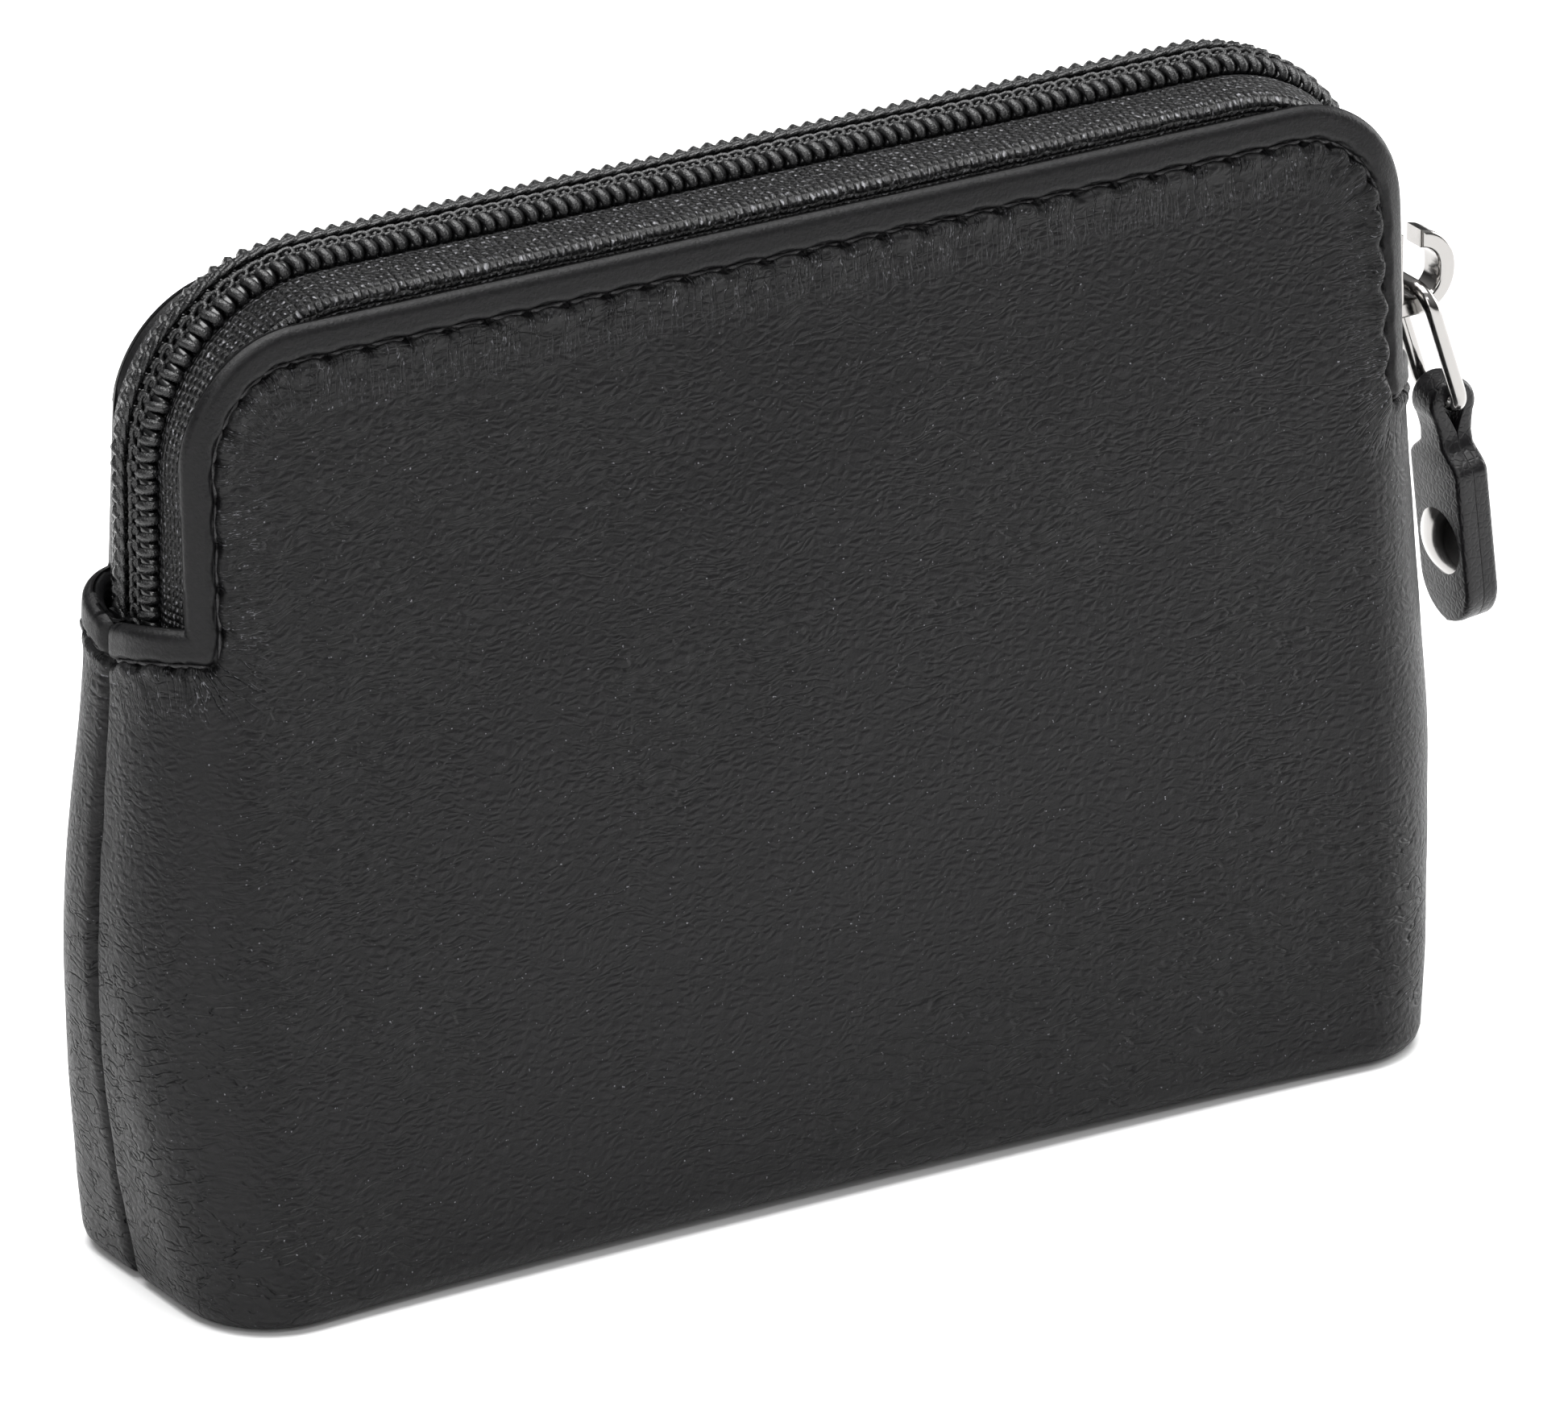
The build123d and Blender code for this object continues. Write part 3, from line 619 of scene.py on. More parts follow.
def tube_faces(rings, sides, closed=False):
    """Faces of a tube made of rings of points, capped unless it closes on itself."""
    faces = []
    for i in range(rings if closed else rings - 1):
        here, there = i * sides, (i + 1) % rings * sides
        for k in range(sides):
            after = (k + 1) % sides
            faces.append((here + k, here + after, there + after, there + k))
    if not closed:
        faces += [tuple(range(sides - 1, -1, -1)), tuple(range((rings - 1) * sides, rings * sides))]
    return faces


def tube(centres, radius, sides, closed=False, up=(0, 0, 1)):
    """Vertices and faces of a round tube along points; radius may vary along it."""
    centres = np.asarray(centres, float)
    count = len(centres)
    radius = np.broadcast_to(radius, (count,))
    if closed:
        tangent = np.roll(centres, -1, axis=0) - np.roll(centres, 1, axis=0)
    else:
        tangent = np.gradient(centres, axis=0)
    tangent /= np.linalg.norm(tangent, axis=1, keepdims=True)
    side = np.cross(tangent, up)
    side /= np.maximum(np.linalg.norm(side, axis=1, keepdims=True), HAIR)
    lift = np.cross(side, tangent)
    turn = np.linspace(0, 2 * math.pi, sides, endpoint=False)
    ring = side[:, None] * np.cos(turn)[None, :, None] + lift[:, None] * np.sin(turn)[None, :, None]
    vertices = (centres[:, None] + ring * radius[:, None, None]).reshape(-1, 3)
    return vertices, tube_faces(count, sides, closed)


def thread_material(name, hex_colour, shine):
    """Twisted filament thread: the ply shows as slanting ribs with a small bright glint on each."""
    material, tree = start_material(name)
    here = add_node(tree, "ShaderNodeTexCoord").outputs["Object"]
    ribs = noise_value(tree, placed(tree, here, (1000, 1000, 1000), (0.5, 0.6, 0.4)), 6.0, 2.0)
    finish_surface(tree, hex_colour, ramp(tree, ribs, 0.35, 0.65, shine + 0.3, shine),
                   relief(tree, ribs, 0.0001, 0.8), Specular_IOR_Level=0.5)
    return material


def repeat_tree():
    """Geometry Nodes tree that sets a part on every point, lined up with the point's own axes."""
    group = bpy.data.node_groups.new("repeat_on_path", "GeometryNodeTree")
    for label, kind in (("Path Points", "Geometry"), ("Part", "Object"), ("Size", "Float"),
                        ("Size Spread", "Float"), ("Turn Spread", "Float"), ("Seed", "Int"),
                        ("Finish", "Material")):
        group.interface.new_socket(label, in_out="INPUT", socket_type="NodeSocket" + kind)
    group.interface.new_socket("Parts", in_out="OUTPUT", socket_type="NodeSocketGeometry")
    given = add_node(group, "NodeGroupInput").outputs
    part = add_node(group, "GeometryNodeObjectInfo", [("Object", given["Part"])])
    along = add_node(group, "GeometryNodeInputNamedAttribute", [("Name", "along")], data_type="FLOAT_VECTOR")
    out = add_node(group, "GeometryNodeInputNamedAttribute", [("Name", "out")], data_type="FLOAT_VECTOR")
    facing = add_node(group, "FunctionNodeAxesToRotation",
                      [("Primary Axis", out.outputs[0]), ("Secondary Axis", along.outputs[0])],
                      primary_axis="Z", secondary_axis="X")
    size_noise, turn = (
        add_node(group, "FunctionNodeRandomValue",
                 [(2, maths(group, "MULTIPLY", given[spread], -1.0)), (3, given[spread]),
                  ("Seed", given["Seed"])],
                 data_type="FLOAT").outputs[1]
        for spread in ("Size Spread", "Turn Spread"))
    size = maths(group, "ADD", given["Size"], size_noise)
    turn_vector = add_node(group, "ShaderNodeCombineXYZ", [("Z", turn)])
    turned = add_node(group, "FunctionNodeRotateRotation",
                      [("Rotation", facing.outputs[0]), ("Rotate By", turn_vector.outputs[0])],
                      rotation_space="LOCAL")
    placed = add_node(group, "GeometryNodeInstanceOnPoints",
                      [("Points", given["Path Points"]), ("Instance", part.outputs["Geometry"]),
                       ("Rotation", turned.outputs[0]), ("Scale", size)])
    real = add_node(group, "GeometryNodeRealizeInstances", [(0, placed.outputs[0])])
    finished = add_node(group, "GeometryNodeSetMaterial", [("Geometry", real.outputs[0]),
                                                           ("Material", given["Finish"])])
    add_node(group, "NodeGroupOutput", [("Parts", finished.outputs[0])])
    return group


REPEAT = repeat_tree()


def repeated_piece(name, part, places, along, out, material, size_spread=0.0, turn_spread=0.0, seed=0):
    """Copies of a part (vertices, faces) on a row of places, made one plain mesh."""
    sample = mesh_piece(name + "_sample", *part, material)
    points = mesh_piece(name + "_points", places, [], material)
    for label, vectors in (("along", along), ("out", out)):
        attribute = points.data.attributes.new(label, "FLOAT_VECTOR", "POINT")
        attribute.data.foreach_set("vector", np.asarray(vectors, np.float32).ravel())
    repeat = points.modifiers.new("repeat", "NODES")
    repeat.node_group = REPEAT
    given = {"Part": sample, "Size": 1.0, "Size Spread": size_spread, "Turn Spread": turn_spread,
             "Seed": seed, "Finish": material}
    for item in REPEAT.interface.items_tree:
        if item.in_out == "INPUT" and item.name in given:
            repeat[item.identifier] = given[item.name]
    evaluated = points.evaluated_get(bpy.context.evaluated_depsgraph_get())
    mesh = bpy.data.meshes.new_from_object(evaluated)
    mesh.name = name
    for helper in (points, sample):
        bpy.data.objects.remove(helper)
    piece = bpy.data.objects.new(name, mesh)
    piece.data.shade_smooth()
    scene.collection.objects.link(piece)
    return piece


sewing_thread = thread_material("black_bonded_thread", "#141315", 0.35)
STITCH_SINK = -0.26
stitch_x = np.linspace(-1.5, 1.5, 7)
stitch_curve = np.stack([stitch_x, np.zeros(7), -0.20 * (stitch_x / 1.5) ** 4], axis=1)
stitch_part = tube(stitch_curve, THREAD_RADIUS * np.array([0.6, 1, 1.1, 1.1, 1.1, 1, 0.6]), 6)
for label, facing, edge, seed in (("front", 1, front_edge, 3), ("back", -1, back_edge, 4)):
    line, run = edge.offset(STITCH_MARGIN)
    stitch_runs = np.arange(0.5, run[-1] / STITCH_PITCH - 0.5) * STITCH_PITCH
    here, ahead = (np.stack([np.interp(stitch_runs + step, run, line[:, k]) for k in (0, 1)], axis=1)
                   for step in (0, 0.4))
    normals = body_normals(here[:, 0], here[:, 1], edge.fullness)
    places = body_points(here[:, 0], here[:, 1], edge.fullness) + normals * STITCH_SINK
    directions = body_points(ahead[:, 0], ahead[:, 1], edge.fullness) + normals * STITCH_SINK - places
    face = np.array([1, facing, 1])
    piece = repeated_piece(f"{label}_stitches", stitch_part, places * face, directions * face, normals * face,
                           sewing_thread, 0.06, 0.06, seed)
    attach(piece, "purse")
    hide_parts(f"{label}_topstitching")


# ---------------------------------------------------------------------------------------------
# Side seams: the panels are sewn inside out, so only the bite of each lockstitch shows, a short
# thread across the bottom of the groove where the two panels turn in.
# ---------------------------------------------------------------------------------------------
SEAM_PITCH = 3.0
SEAM_DEPTH = 0.75           # the thread lies this far down the groove
seam_y = np.linspace(-0.55, 0.55, 5)
seam_curve = np.stack([np.zeros(5), seam_y, -0.5 * (seam_y / 0.55) ** 2], axis=1)
seam_part = tube(seam_curve, THREAD_RADIUS, 6, up=(1, 0, 0))
seam_levels = np.arange(4.0, NOTCH - 3.2, SEAM_PITCH)
for side, label in ((-1, "left"), (1, "right")):
    reach = half_length(seam_levels, FRONT) * side
    surface = body_points(reach, seam_levels, FRONT)
    outward = body_normals(reach * 0.999, seam_levels, FRONT) * (1, 0, 1)
    outward /= np.linalg.norm(outward, axis=1, keepdims=True)
    upward = np.stack([-outward[:, 2] * side, np.zeros(len(outward)), outward[:, 0] * side], axis=1)
    piece = repeated_piece(f"{label}_seam_stitches", seam_part, surface * (1, 0, 1) - outward * SEAM_DEPTH,
                           upward, outward, sewing_thread, 0.05, 0.15, 5)
    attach(piece, "purse")
    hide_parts(f"{label}_seam_stitching")


# ---------------------------------------------------------------------------------------------
# Lining: a bag of thin black polyester twill that hangs inside the leather, one half to each
# panel, caught in the topstitching and in the side seams.
# ---------------------------------------------------------------------------------------------
LINING_INSET = 2.15
LINING_THICKNESS = 0.3


def grid_faces(rows, columns):
    """Quads of a grid whose points run along each row in turn."""
    return [(r * columns + c, r * columns + c + 1, (r + 1) * columns + c + 1, (r + 1) * columns + c)
            for r in range(rows - 1) for c in range(columns - 1)]


lining_fabric, tree = start_material("black_polyester_twill_lining")
here = add_node(tree, "ShaderNodeTexCoord").outputs["Object"]
twill = add_node(tree, "ShaderNodeTexWave", [("Vector", here), ("Scale", 700.0), ("Distortion", 0.4)],
                 wave_type="BANDS", bands_direction="DIAGONAL").outputs["Fac"]
finish_surface(tree, "#121214", 0.6, relief(tree, twill, 0.00008), Sheen_Weight=0.2)

COLUMNS = 121
for label, facing, fullness in (("front", 1, FRONT), ("back", -1, BACK)):
    rows = np.r_[np.linspace(base_centre(fullness) + 0.4, 0, 12), np.linspace(1.5, NOTCH - 1.5, 40)]
    cloth_points = []
    for q in rows:
        s = np.linspace(-1, 1, COLUMNS) * float(half_length(q, fullness))
        level = np.full(COLUMNS, q)
        inside = body_points(s, level, fullness) - body_normals(s * 0.9995, level, fullness) * LINING_INSET
        wave = 0.25 * np.sin(s / 7.0 + q / 9.0) * np.clip(q / 10, 0, 1)
        inside[:, 1] = np.minimum(inside[:, 1] + wave + 0.2, -0.25)
        cloth_points.append(inside)
    faces = grid_faces(len(rows), COLUMNS)
    if facing < 0:
        faces = [face[::-1] for face in faces]
    points = np.concatenate(cloth_points) * (1, facing, 1)
    piece = mesh_piece(f"{label}_lining_cloth", points, faces, lining_fabric)
    wall = piece.modifiers.new("thickness", "SOLIDIFY")
    wall.thickness = LINING_THICKNESS * MM
    wall.offset = -1.0
    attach(piece, "purse")
    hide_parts(f"{label}_lining")


# ---------------------------------------------------------------------------------------------
# Zip tapes: two woven black polyester bands.  Each comes up from behind the folded leather,
# rises to a low ridge beside its coil, and dips to pass under the coil, which is sewn on top.
# ---------------------------------------------------------------------------------------------
TAPE_TUCK = 5.0
TAPE_THICKNESS = 0.4
RIDGE_Y = -3.45             # where the tape stands highest, beside the coil
ZIP_END = NOTCH - 4.0
ZIP_RADIUS = 13.0
ZIP_TOP = LEATHER_TOP + 1.0
ARC_Z = ZIP_TOP - ZIP_RADIUS


def zip_line(offset, spacing, left_end=ZIP_END, right_end=ZIP_END):
    """Points and outward directions, in X and Z, at an offset from the zip's line."""
    radius = ZIP_RADIUS + offset
    turn = np.linspace(0, math.pi / 2, 60)
    left = np.stack([-ZIP_HALF + ZIP_RADIUS - radius * np.cos(turn), ARC_Z + radius * np.sin(turn)], axis=1)
    right = left[::-1] * (-1, 1)
    line = np.concatenate([[(-ZIP_HALF - offset, left_end)], left, right, [(ZIP_HALF + offset, right_end)]])
    line = even_points(line, spacing)
    tangent = np.gradient(line, axis=0)
    tangent /= np.linalg.norm(tangent, axis=1, keepdims=True)
    return line, np.stack([-tangent[:, 1], tangent[:, 0]], axis=1)


def tape_surface(fullness):
    """The tape's outer face as a grid of points, with the distance across it at each point."""
    course, outward = zip_line(0.0, 0.5)
    across = np.linspace(0, 1, 40)
    rows, widths = [], []
    for (x, z), (out_x, out_z) in zip(course, outward):
        held = []
        for tuck, depth in ((TAPE_TUCK, 1.75), (2.6, 1.7), (0.9, 1.55), (0.1, 1.25)):
            px, pz = x - out_x * tuck, z - out_z * tuck
            run = section_run(px, pz, fullness)
            level = np.array([pz])
            held.append((body_points(run, level, fullness) - body_normals(run, level, fullness) * depth)[0])
        rim_y = held[-1][1]
        free = [(rim_y - (rim_y - RIDGE_Y) * 0.35, 0.25), (rim_y - (rim_y - RIDGE_Y) * 0.7, 0.45),
                (RIDGE_Y, 0.6), (-2.9, 0.45), (-2.4, 0.36), (-1.6, 0.33), (-0.8, 0.33)]
        knots = np.array(held + [(x + out_x * rise, y, z + out_z * rise) for y, rise in free])
        steps = path_steps(knots)
        row = spline(steps, knots, across * steps[-1])
        rows.append(row)
        widths.append(path_steps(row))
    return np.array(rows), np.array(widths), path_steps(course)


WARP_SPACING = 0.66         # between yarns along the tape
WEFT_SPACING = 0.5          # and across it


def tape_material(name):
    """Woven tape of textured filament yarn: a close plain weave whose shiny yarn tops catch the light.

    Each crossing of two yarns is a small cushion; the gaps between them are painted shade, and a few
    crossings carry a painted highlight.
    """
    material, tree = start_material(name)
    uv = add_node(tree, "ShaderNodeUVMap", uv_map="tape_mm").outputs[0]
    axes = add_node(tree, "ShaderNodeSeparateXYZ", [(0, drifted(tree, uv, 0.9, 1.0, 0.35))]).outputs
    waves = [maths(tree, "SINE", maths(tree, "MULTIPLY", axes[axis], math.pi / spacing))
             for axis, spacing in (("X", WARP_SPACING), ("Y", WEFT_SPACING))]
    crown = maths(tree, "ABSOLUTE", maths(tree, "MULTIPLY", *waves))
    fibres = noise_value(tree, uv, 7.0, 2.0)
    lit = ramp(tree, noise_value(tree, uv, 2.8, 1.0), 0.58, 0.66)
    # colour darker in the gaps between yarn crowns: painted shade
    plain = mixed(tree, crown, "#010101", "#141416")
    # a few yarn crowns lightened to grey: painted highlight glints
    colour = mixed(tree, maths(tree, "MULTIPLY", lit, crown), plain, "#8c8c90")
    normal = relief(tree, maths(tree, "MULTIPLY_ADD", fibres, 0.55, crown), 0.0005)
    finish_surface(tree, colour, ramp(tree, fibres, 0.45, 0.68, 0.5, 0.2), normal, Specular_IOR_Level=0.4)
    return material


tape_weave = tape_material("black_woven_zip_tape")
for label, facing, fullness in (("front", 1, FRONT), ("back", -1, BACK)):
    tape_rows, tape_widths, tape_runs = tape_surface(fullness)
    row_count, column_count = tape_widths.shape
    faces = grid_faces(row_count, column_count)
    if facing < 0:
        faces = [face[::-1] for face in faces]
    piece = mesh_piece(f"{label}_tape", tape_rows.reshape(-1, 3) * (1, facing, 1), faces, tape_weave)
    uv = piece.data.uv_layers.new(name="tape_mm")
    corner_vertices = np.empty(len(piece.data.loops), int)
    piece.data.loops.foreach_get("vertex_index", corner_vertices)
    along = np.repeat(tape_runs, column_count)[corner_vertices]
    across = tape_widths.reshape(-1)[corner_vertices]
    uv.data.foreach_set("uv", np.stack([along, across], axis=1).ravel())
    wall = piece.modifiers.new("thickness", "SOLIDIFY")
    wall.thickness = TAPE_THICKNESS * MM
    wall.offset = -1.0
    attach(piece, "purse")
    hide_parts(f"{label}_zip_tape")


# ---------------------------------------------------------------------------------------------
# Zip coils: each is one black nylon monofilament wound into a flattened spiral over a filler
# cord, its turns pressed broad where they bend, and meshed with the turns of the other coil.
# ---------------------------------------------------------------------------------------------
COIL_PITCH = 1.28
COIL_RISE = 1.2             # coil centre outside the zip's line
COIL_Y = 1.55
COIL_HALF_WIDTH = 0.95      # to the middle of the wire
COIL_HALF_HEIGHT = 0.5
WIRE_BROAD = 0.55
WIRE_FLAT = 0.3
TURN_POINTS = 16
WIRE_SIDES = 8

nylon, tree = start_material("black_nylon_monofilament")
here = add_node(tree, "ShaderNodeTexCoord").outputs["Object"]
scuffed = ramp(tree, noise_value(tree, here, 2500.0, 2.0), 0.3, 0.7, 0.14, 0.3)
monofilament = add_node(tree, "ShaderNodeBsdfPrincipled",
                        [("Base Color", linear("#080809")), ("Roughness", scuffed), ("IOR", 1.53),
                         ("Specular IOR Level", 0.55)])
finish_material(tree, monofilament)


def on_zip(course, outward, steps, run, rise, y):
    """Points at runs along the zip, raised off the course and moved across to y."""
    x, z, out_x, out_z = (np.interp(run, steps, values) for values in (*course.T, *outward.T))
    return np.stack([x + out_x * rise, np.broadcast_to(y, x.shape), z + out_z * rise], axis=1)


coil_course, coil_outward = zip_line(COIL_RISE, 0.4)
coil_steps = path_steps(coil_course)
turn_count = int(coil_steps[-1] / COIL_PITCH)
wire_run = np.linspace(0.3, coil_steps[-1] - 0.3, turn_count * TURN_POINTS)
for label, facing, shift in (("front", 1, 0.0), ("back", -1, math.pi)):
    turn = 2 * math.pi * wire_run / COIL_PITCH + shift
    out = COIL_HALF_HEIGHT * np.sin(turn)
    side = -facing * COIL_Y - facing * COIL_HALF_WIDTH * np.cos(turn)
    centres = on_zip(coil_course, coil_outward, coil_steps, wire_run, out, side)
    axis = on_zip(coil_course, coil_outward, coil_steps, wire_run, np.zeros_like(out), -facing * COIL_Y)
    ahead = np.gradient(axis, axis=0)
    ahead /= np.linalg.norm(ahead, axis=1, keepdims=True)
    tangent = np.gradient(centres, axis=0)
    tangent /= np.linalg.norm(tangent, axis=1, keepdims=True)
    broad = ahead - tangent * (ahead * tangent).sum(axis=1, keepdims=True)
    broad /= np.linalg.norm(broad, axis=1, keepdims=True)
    flat = np.cross(tangent, broad)
    ring = np.linspace(0, 2 * math.pi, WIRE_SIDES, endpoint=False)
    wire = centres[:, None] + broad[:, None] * (WIRE_BROAD * np.cos(ring))[None, :, None] \
        + flat[:, None] * (WIRE_FLAT * np.sin(ring))[None, :, None]
    piece = mesh_piece(f"{label}_coil_wire", wire.reshape(-1, 3), tube_faces(len(centres), WIRE_SIDES), nylon)
    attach(piece, "purse")
    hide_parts(f"{label}_coil")


# ---------------------------------------------------------------------------------------------
# Coil sewing: a row of chain stitches down the top of each coil binds it to the tape.  Every
# loop passes through the one before, and a leg goes down between two turns of the coil.
# ---------------------------------------------------------------------------------------------
LOOP_Y = 1.0
LOOP_RISE = 0.85            # above the coil's centre
LOOP_LENGTH = 2.1
LOOP_WIDTH = 1.25
YARN_RADIUS = 0.24
LEG_RADIUS = 0.42           # a leg is three yarns side by side
coil_yarn = thread_material("black_polyester_coil_yarn", "#121213", 0.18)

loop_turn = np.linspace(0, 2 * math.pi, 12, endpoint=False)
loop_shape = np.stack([0.5 * LOOP_LENGTH * np.cos(loop_turn),
                       0.5 * LOOP_WIDTH * np.sin(loop_turn) * (0.62 + 0.38 * np.cos(loop_turn)),
                       0.16 * np.cos(loop_turn)], axis=1)
loop_part = tube(loop_shape, YARN_RADIUS, 4, closed=True)
leg_turn = np.radians(np.linspace(70, 196, 7))
leg_shape = np.stack([-0.25 * np.cos(leg_turn), (COIL_HALF_WIDTH + 0.22) * np.cos(leg_turn),
                      (COIL_HALF_HEIGHT + 0.24) * np.sin(leg_turn)], axis=1)
leg_part = tube(leg_shape, LEG_RADIUS * np.array([0.6, 0.9, 1.0, 1.0, 1.0, 0.9, 0.6]), 6, up=(1, 0, 0))
loop_runs = (np.arange(turn_count) + 0.5) * COIL_PITCH
loop_runs = loop_runs[(loop_runs > 1.2) & (loop_runs < coil_steps[-1] - 1.2)]


def join_meshes(name, parts, material):
    """One plain mesh object made of several, which are used up."""
    mesh = bpy.data.meshes.new(name)
    vertices, faces = [], []
    for part in parts:
        start = len(vertices)
        vertices += [tuple(v.co) for v in part.data.vertices]
        faces += [tuple(start + i for i in polygon.vertices) for polygon in part.data.polygons]
        bpy.data.objects.remove(part)
    mesh.from_pydata(vertices, [], faces)
    mesh.shade_smooth()
    mesh.materials.append(material)
    piece = bpy.data.objects.new(name, mesh)
    scene.collection.objects.link(piece)
    return piece


for label, facing, seed in (("front", 1, 21), ("back", -1, 22)):
    loops = on_zip(coil_course, coil_outward, coil_steps, loop_runs, LOOP_RISE, -facing * LOOP_Y)
    ahead = on_zip(coil_course, coil_outward, coil_steps, loop_runs + 0.2, LOOP_RISE, -facing * LOOP_Y)
    above = on_zip(coil_course, coil_outward, coil_steps, loop_runs, LOOP_RISE + 1, -facing * LOOP_Y)
    along, out = ahead - loops, above - loops
    out = out + np.array([0, -0.25 * facing, 0])
    loop_row = repeated_piece(f"{label}_loops", loop_part, loops, along, out, coil_yarn, 0.05, 0.10, seed)
    leg_runs = loop_runs + (0.25 if facing > 0 else -0.25) * COIL_PITCH
    legs = on_zip(coil_course, coil_outward, coil_steps, leg_runs, 0.0, -facing * COIL_Y)
    leg_mesh = leg_part if facing > 0 else (leg_part[0] * (1, -1, 1), [f[::-1] for f in leg_part[1]])
    along = on_zip(coil_course, coil_outward, coil_steps, leg_runs + 0.2, 0.0, -facing * COIL_Y) - legs
    out = on_zip(coil_course, coil_outward, coil_steps, leg_runs, 1.0, -facing * COIL_Y) - legs
    leg_row = repeated_piece(f"{label}_legs", leg_mesh, legs, along, out, coil_yarn, 0.04, 0.05, seed + 10)
    piece = join_meshes(f"{label}_coil_sewing", [loop_row, leg_row], coil_yarn)
    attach(piece, "purse")
    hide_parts(f"{label}_coil_thread")
for label in ("front", "back"):
    cord = bpy.data.objects[f"{label}_coil_cord"]
    for slot in cord.material_slots:
        slot.material = coil_yarn


# ---------------------------------------------------------------------------------------------
# Zip stops: small clips of black-lacquered aluminium, crimped on the coils beside the slider
# and across both coils at the left end, where they cannot be seen once the bag is closed.
# ---------------------------------------------------------------------------------------------
lacquer, tree = start_material("black_lacquered_aluminium")
here = add_node(tree, "ShaderNodeTexCoord").outputs["Object"]
peel = noise_value(tree, here, 1800.0, 2.0)
finish_surface(tree, mixed(tree, ramp(tree, peel, 0.66, 0.72), "#111112", "#4a4a4d"), 0.3,
               relief(tree, peel, 0.00004))
for node in ("front_top_stop", "back_top_stop", "bottom_stop"):
    for slot in bpy.data.objects[node].material_slots:
        slot.material = lacquer


# ---------------------------------------------------------------------------------------------
# Slider, crown, ring and rivet: zinc castings and drawn wire, tumbled and chrome plated.  The
# plate is bright and clear, faintly rippled by the casting, with fine wiping scratches.
# ---------------------------------------------------------------------------------------------
chrome, tree = start_material("bright_chrome_plate")
here = add_node(tree, "ShaderNodeTexCoord").outputs["Object"]
scratches = noise_value(tree, placed(tree, here, (900, 9000, 900), (0.3, 0.2, 0.5)), 1.0, 3.0)
finish_surface(tree, "#9c9a98", ramp(tree, scratches, 0.3, 0.75, 0.10, 0.22),
               relief(tree, noise_value(tree, here, 450.0, 1.0), 0.00012, 0.35), Metallic=1.0)
for node in ("slider_body", "slider_crown", "pull_ring", "rivet_cap", "rivet_post"):
    for slot in bpy.data.objects[node].material_slots:
        slot.material = chrome


# ---------------------------------------------------------------------------------------------
# Pull tab: one strip of black leather folded round the ring's lower bar, glued flesh to flesh
# and held by the rivet; a narrow neck, a rounded end, and edges painted and burnished smooth.
# ---------------------------------------------------------------------------------------------
TAB_EYE_LAYER = 1.15        # one layer, where it goes round the ring
TAB_HALF = 1.5              # half of the padded blade
TAB_LENGTH = 19.0
TAB_HALF_WIDTH = 3.6
TAB_NECK_HALF = 1.7
TAB_NECK_END = 3.2
TAB_SHOULDER_END = 5.4
TAB_EYE_RADIUS = 0.95
TAB_LEAN = math.radians(6.5)
RING_WIRE_RADIUS = 0.65
EYE_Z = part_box("pull_tab")[1][2] / MM - TAB_EYE_RADIUS - TAB_EYE_LAYER
EYE_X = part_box("pull_ring")[1][0] / MM - RING_WIRE_RADIUS

tab_leather, tree = start_material("black_calf_strap_painted_edges")
here = add_node(tree, "ShaderNodeTexCoord").outputs["Object"]
strap_cells = add_node(tree, "ShaderNodeTexVoronoi", [("Vector", here), ("Scale", 1700.0)],
                       feature="DISTANCE_TO_EDGE").outputs["Distance"]
finish_surface(tree, "#0e0d0f", ramp(tree, noise_value(tree, here, 900.0, 3.0), 0.0, 1.0, 0.28, 0.48),
               relief(tree, ramp(tree, strap_cells, 0.0, 0.2), 0.00005, 0.4), Specular_IOR_Level=0.3)

eye_turn = np.radians(np.linspace(212, -32, 25))
eye_middle = TAB_EYE_RADIUS + TAB_EYE_LAYER / 2
down = np.r_[-TAB_LENGTH + 3.6 * (1 - np.cos(np.linspace(0.02, math.pi / 2, 12))),
             np.linspace(-15.0, -6, 14), np.linspace(-5.5, -3.6, 7)]
left_leg = np.stack([np.full(len(down), -TAB_HALF / 2), down], axis=1)
eye_arc = np.stack([eye_middle * np.cos(eye_turn), eye_middle * np.sin(eye_turn)], axis=1)
right_leg = left_leg[::-1] * (-1, 1)
strap_line = np.concatenate([left_leg, [(-0.78, -2.5), (-1.0, -1.7)], eye_arc, [(1.0, -1.7), (0.78, -2.5)],
                             right_leg])
strap_normal = np.gradient(strap_line, axis=0)
strap_normal = np.stack([-strap_normal[:, 1], strap_normal[:, 0]], axis=1)
strap_normal /= np.linalg.norm(strap_normal, axis=1, keepdims=True)


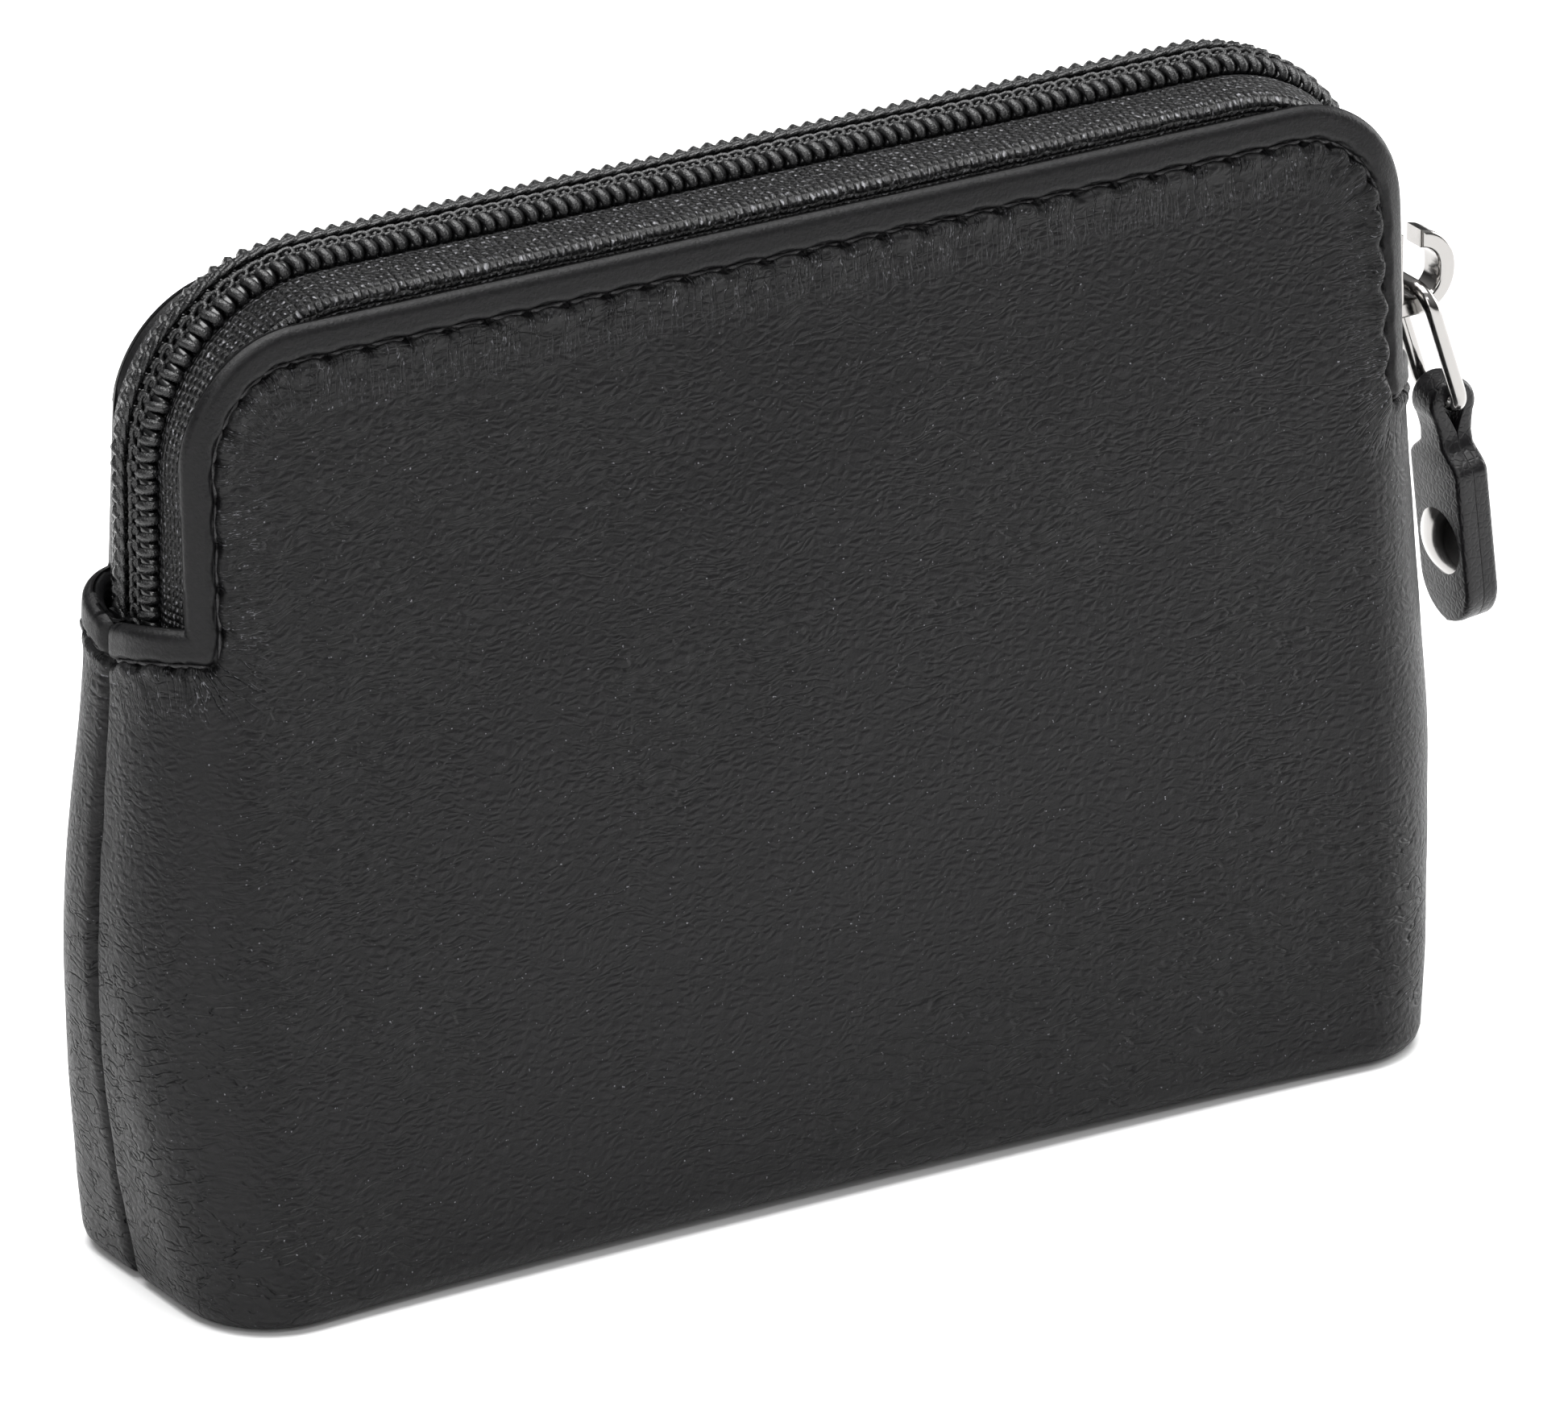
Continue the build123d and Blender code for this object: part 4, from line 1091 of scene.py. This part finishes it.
def tab_half_width(z):
    """Half width of the strap at a height below the eye."""
    share = np.clip((-z - TAB_NECK_END) / (TAB_SHOULDER_END - TAB_NECK_END), 0, 1)
    share = share * share * (3 - 2 * share)
    wide = TAB_NECK_HALF + (TAB_HALF_WIDTH - TAB_NECK_HALF) * share
    end = np.clip(-z - (TAB_LENGTH - TAB_HALF_WIDTH), 0, TAB_HALF_WIDTH)
    return np.minimum(wide, np.sqrt(np.maximum(TAB_HALF_WIDTH ** 2 - end ** 2, 0.0004)))


def strap_section(half_width, half_thickness):
    """The strap's section as a ring of (across, through) points, well rounded on its outer side only."""
    ring = []
    for corner, (side, face) in enumerate(((1, 1), (-1, 1), (-1, -1), (1, -1))):
        radius = min(0.55 if face > 0 else 0.1, half_width * 0.9)
        for turn in np.radians(np.linspace(0, 90, 6) + 90 * corner):
            ring.append((side * (half_width - radius) + radius * math.cos(turn),
                         face * (half_thickness - radius) + radius * math.sin(turn)))
    return np.array(ring)


tab_rings = []
for (across, down_at), (normal_x, normal_z) in zip(strap_line, strap_normal):
    blade = np.clip((-down_at - 1.0) / 1.4, 0, 1)
    half_thickness = 0.5 * (TAB_EYE_LAYER + (TAB_HALF + 0.02 - TAB_EYE_LAYER) * blade)
    ring = strap_section(float(tab_half_width(down_at)), half_thickness)
    tab_rings.append(np.stack([across + ring[:, 1] * normal_x, ring[:, 0], down_at + ring[:, 1] * normal_z],
                              axis=1))
ring_size = len(tab_rings[0])
tab_local = np.concatenate(tab_rings)
cos_lean, sin_lean = math.cos(TAB_LEAN), math.sin(TAB_LEAN)
tab_vertices = np.stack([EYE_X + tab_local[:, 0] * cos_lean - tab_local[:, 2] * sin_lean, tab_local[:, 1],
                         EYE_Z + tab_local[:, 0] * sin_lean + tab_local[:, 2] * cos_lean], axis=1)
tab_faces = [face[::-1] for face in tube_faces(len(tab_rings), ring_size)]
tab = mesh_piece("folded_tab", tab_vertices, tab_faces, tab_leather)
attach(tab, "tab")
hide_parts("pull_tab")
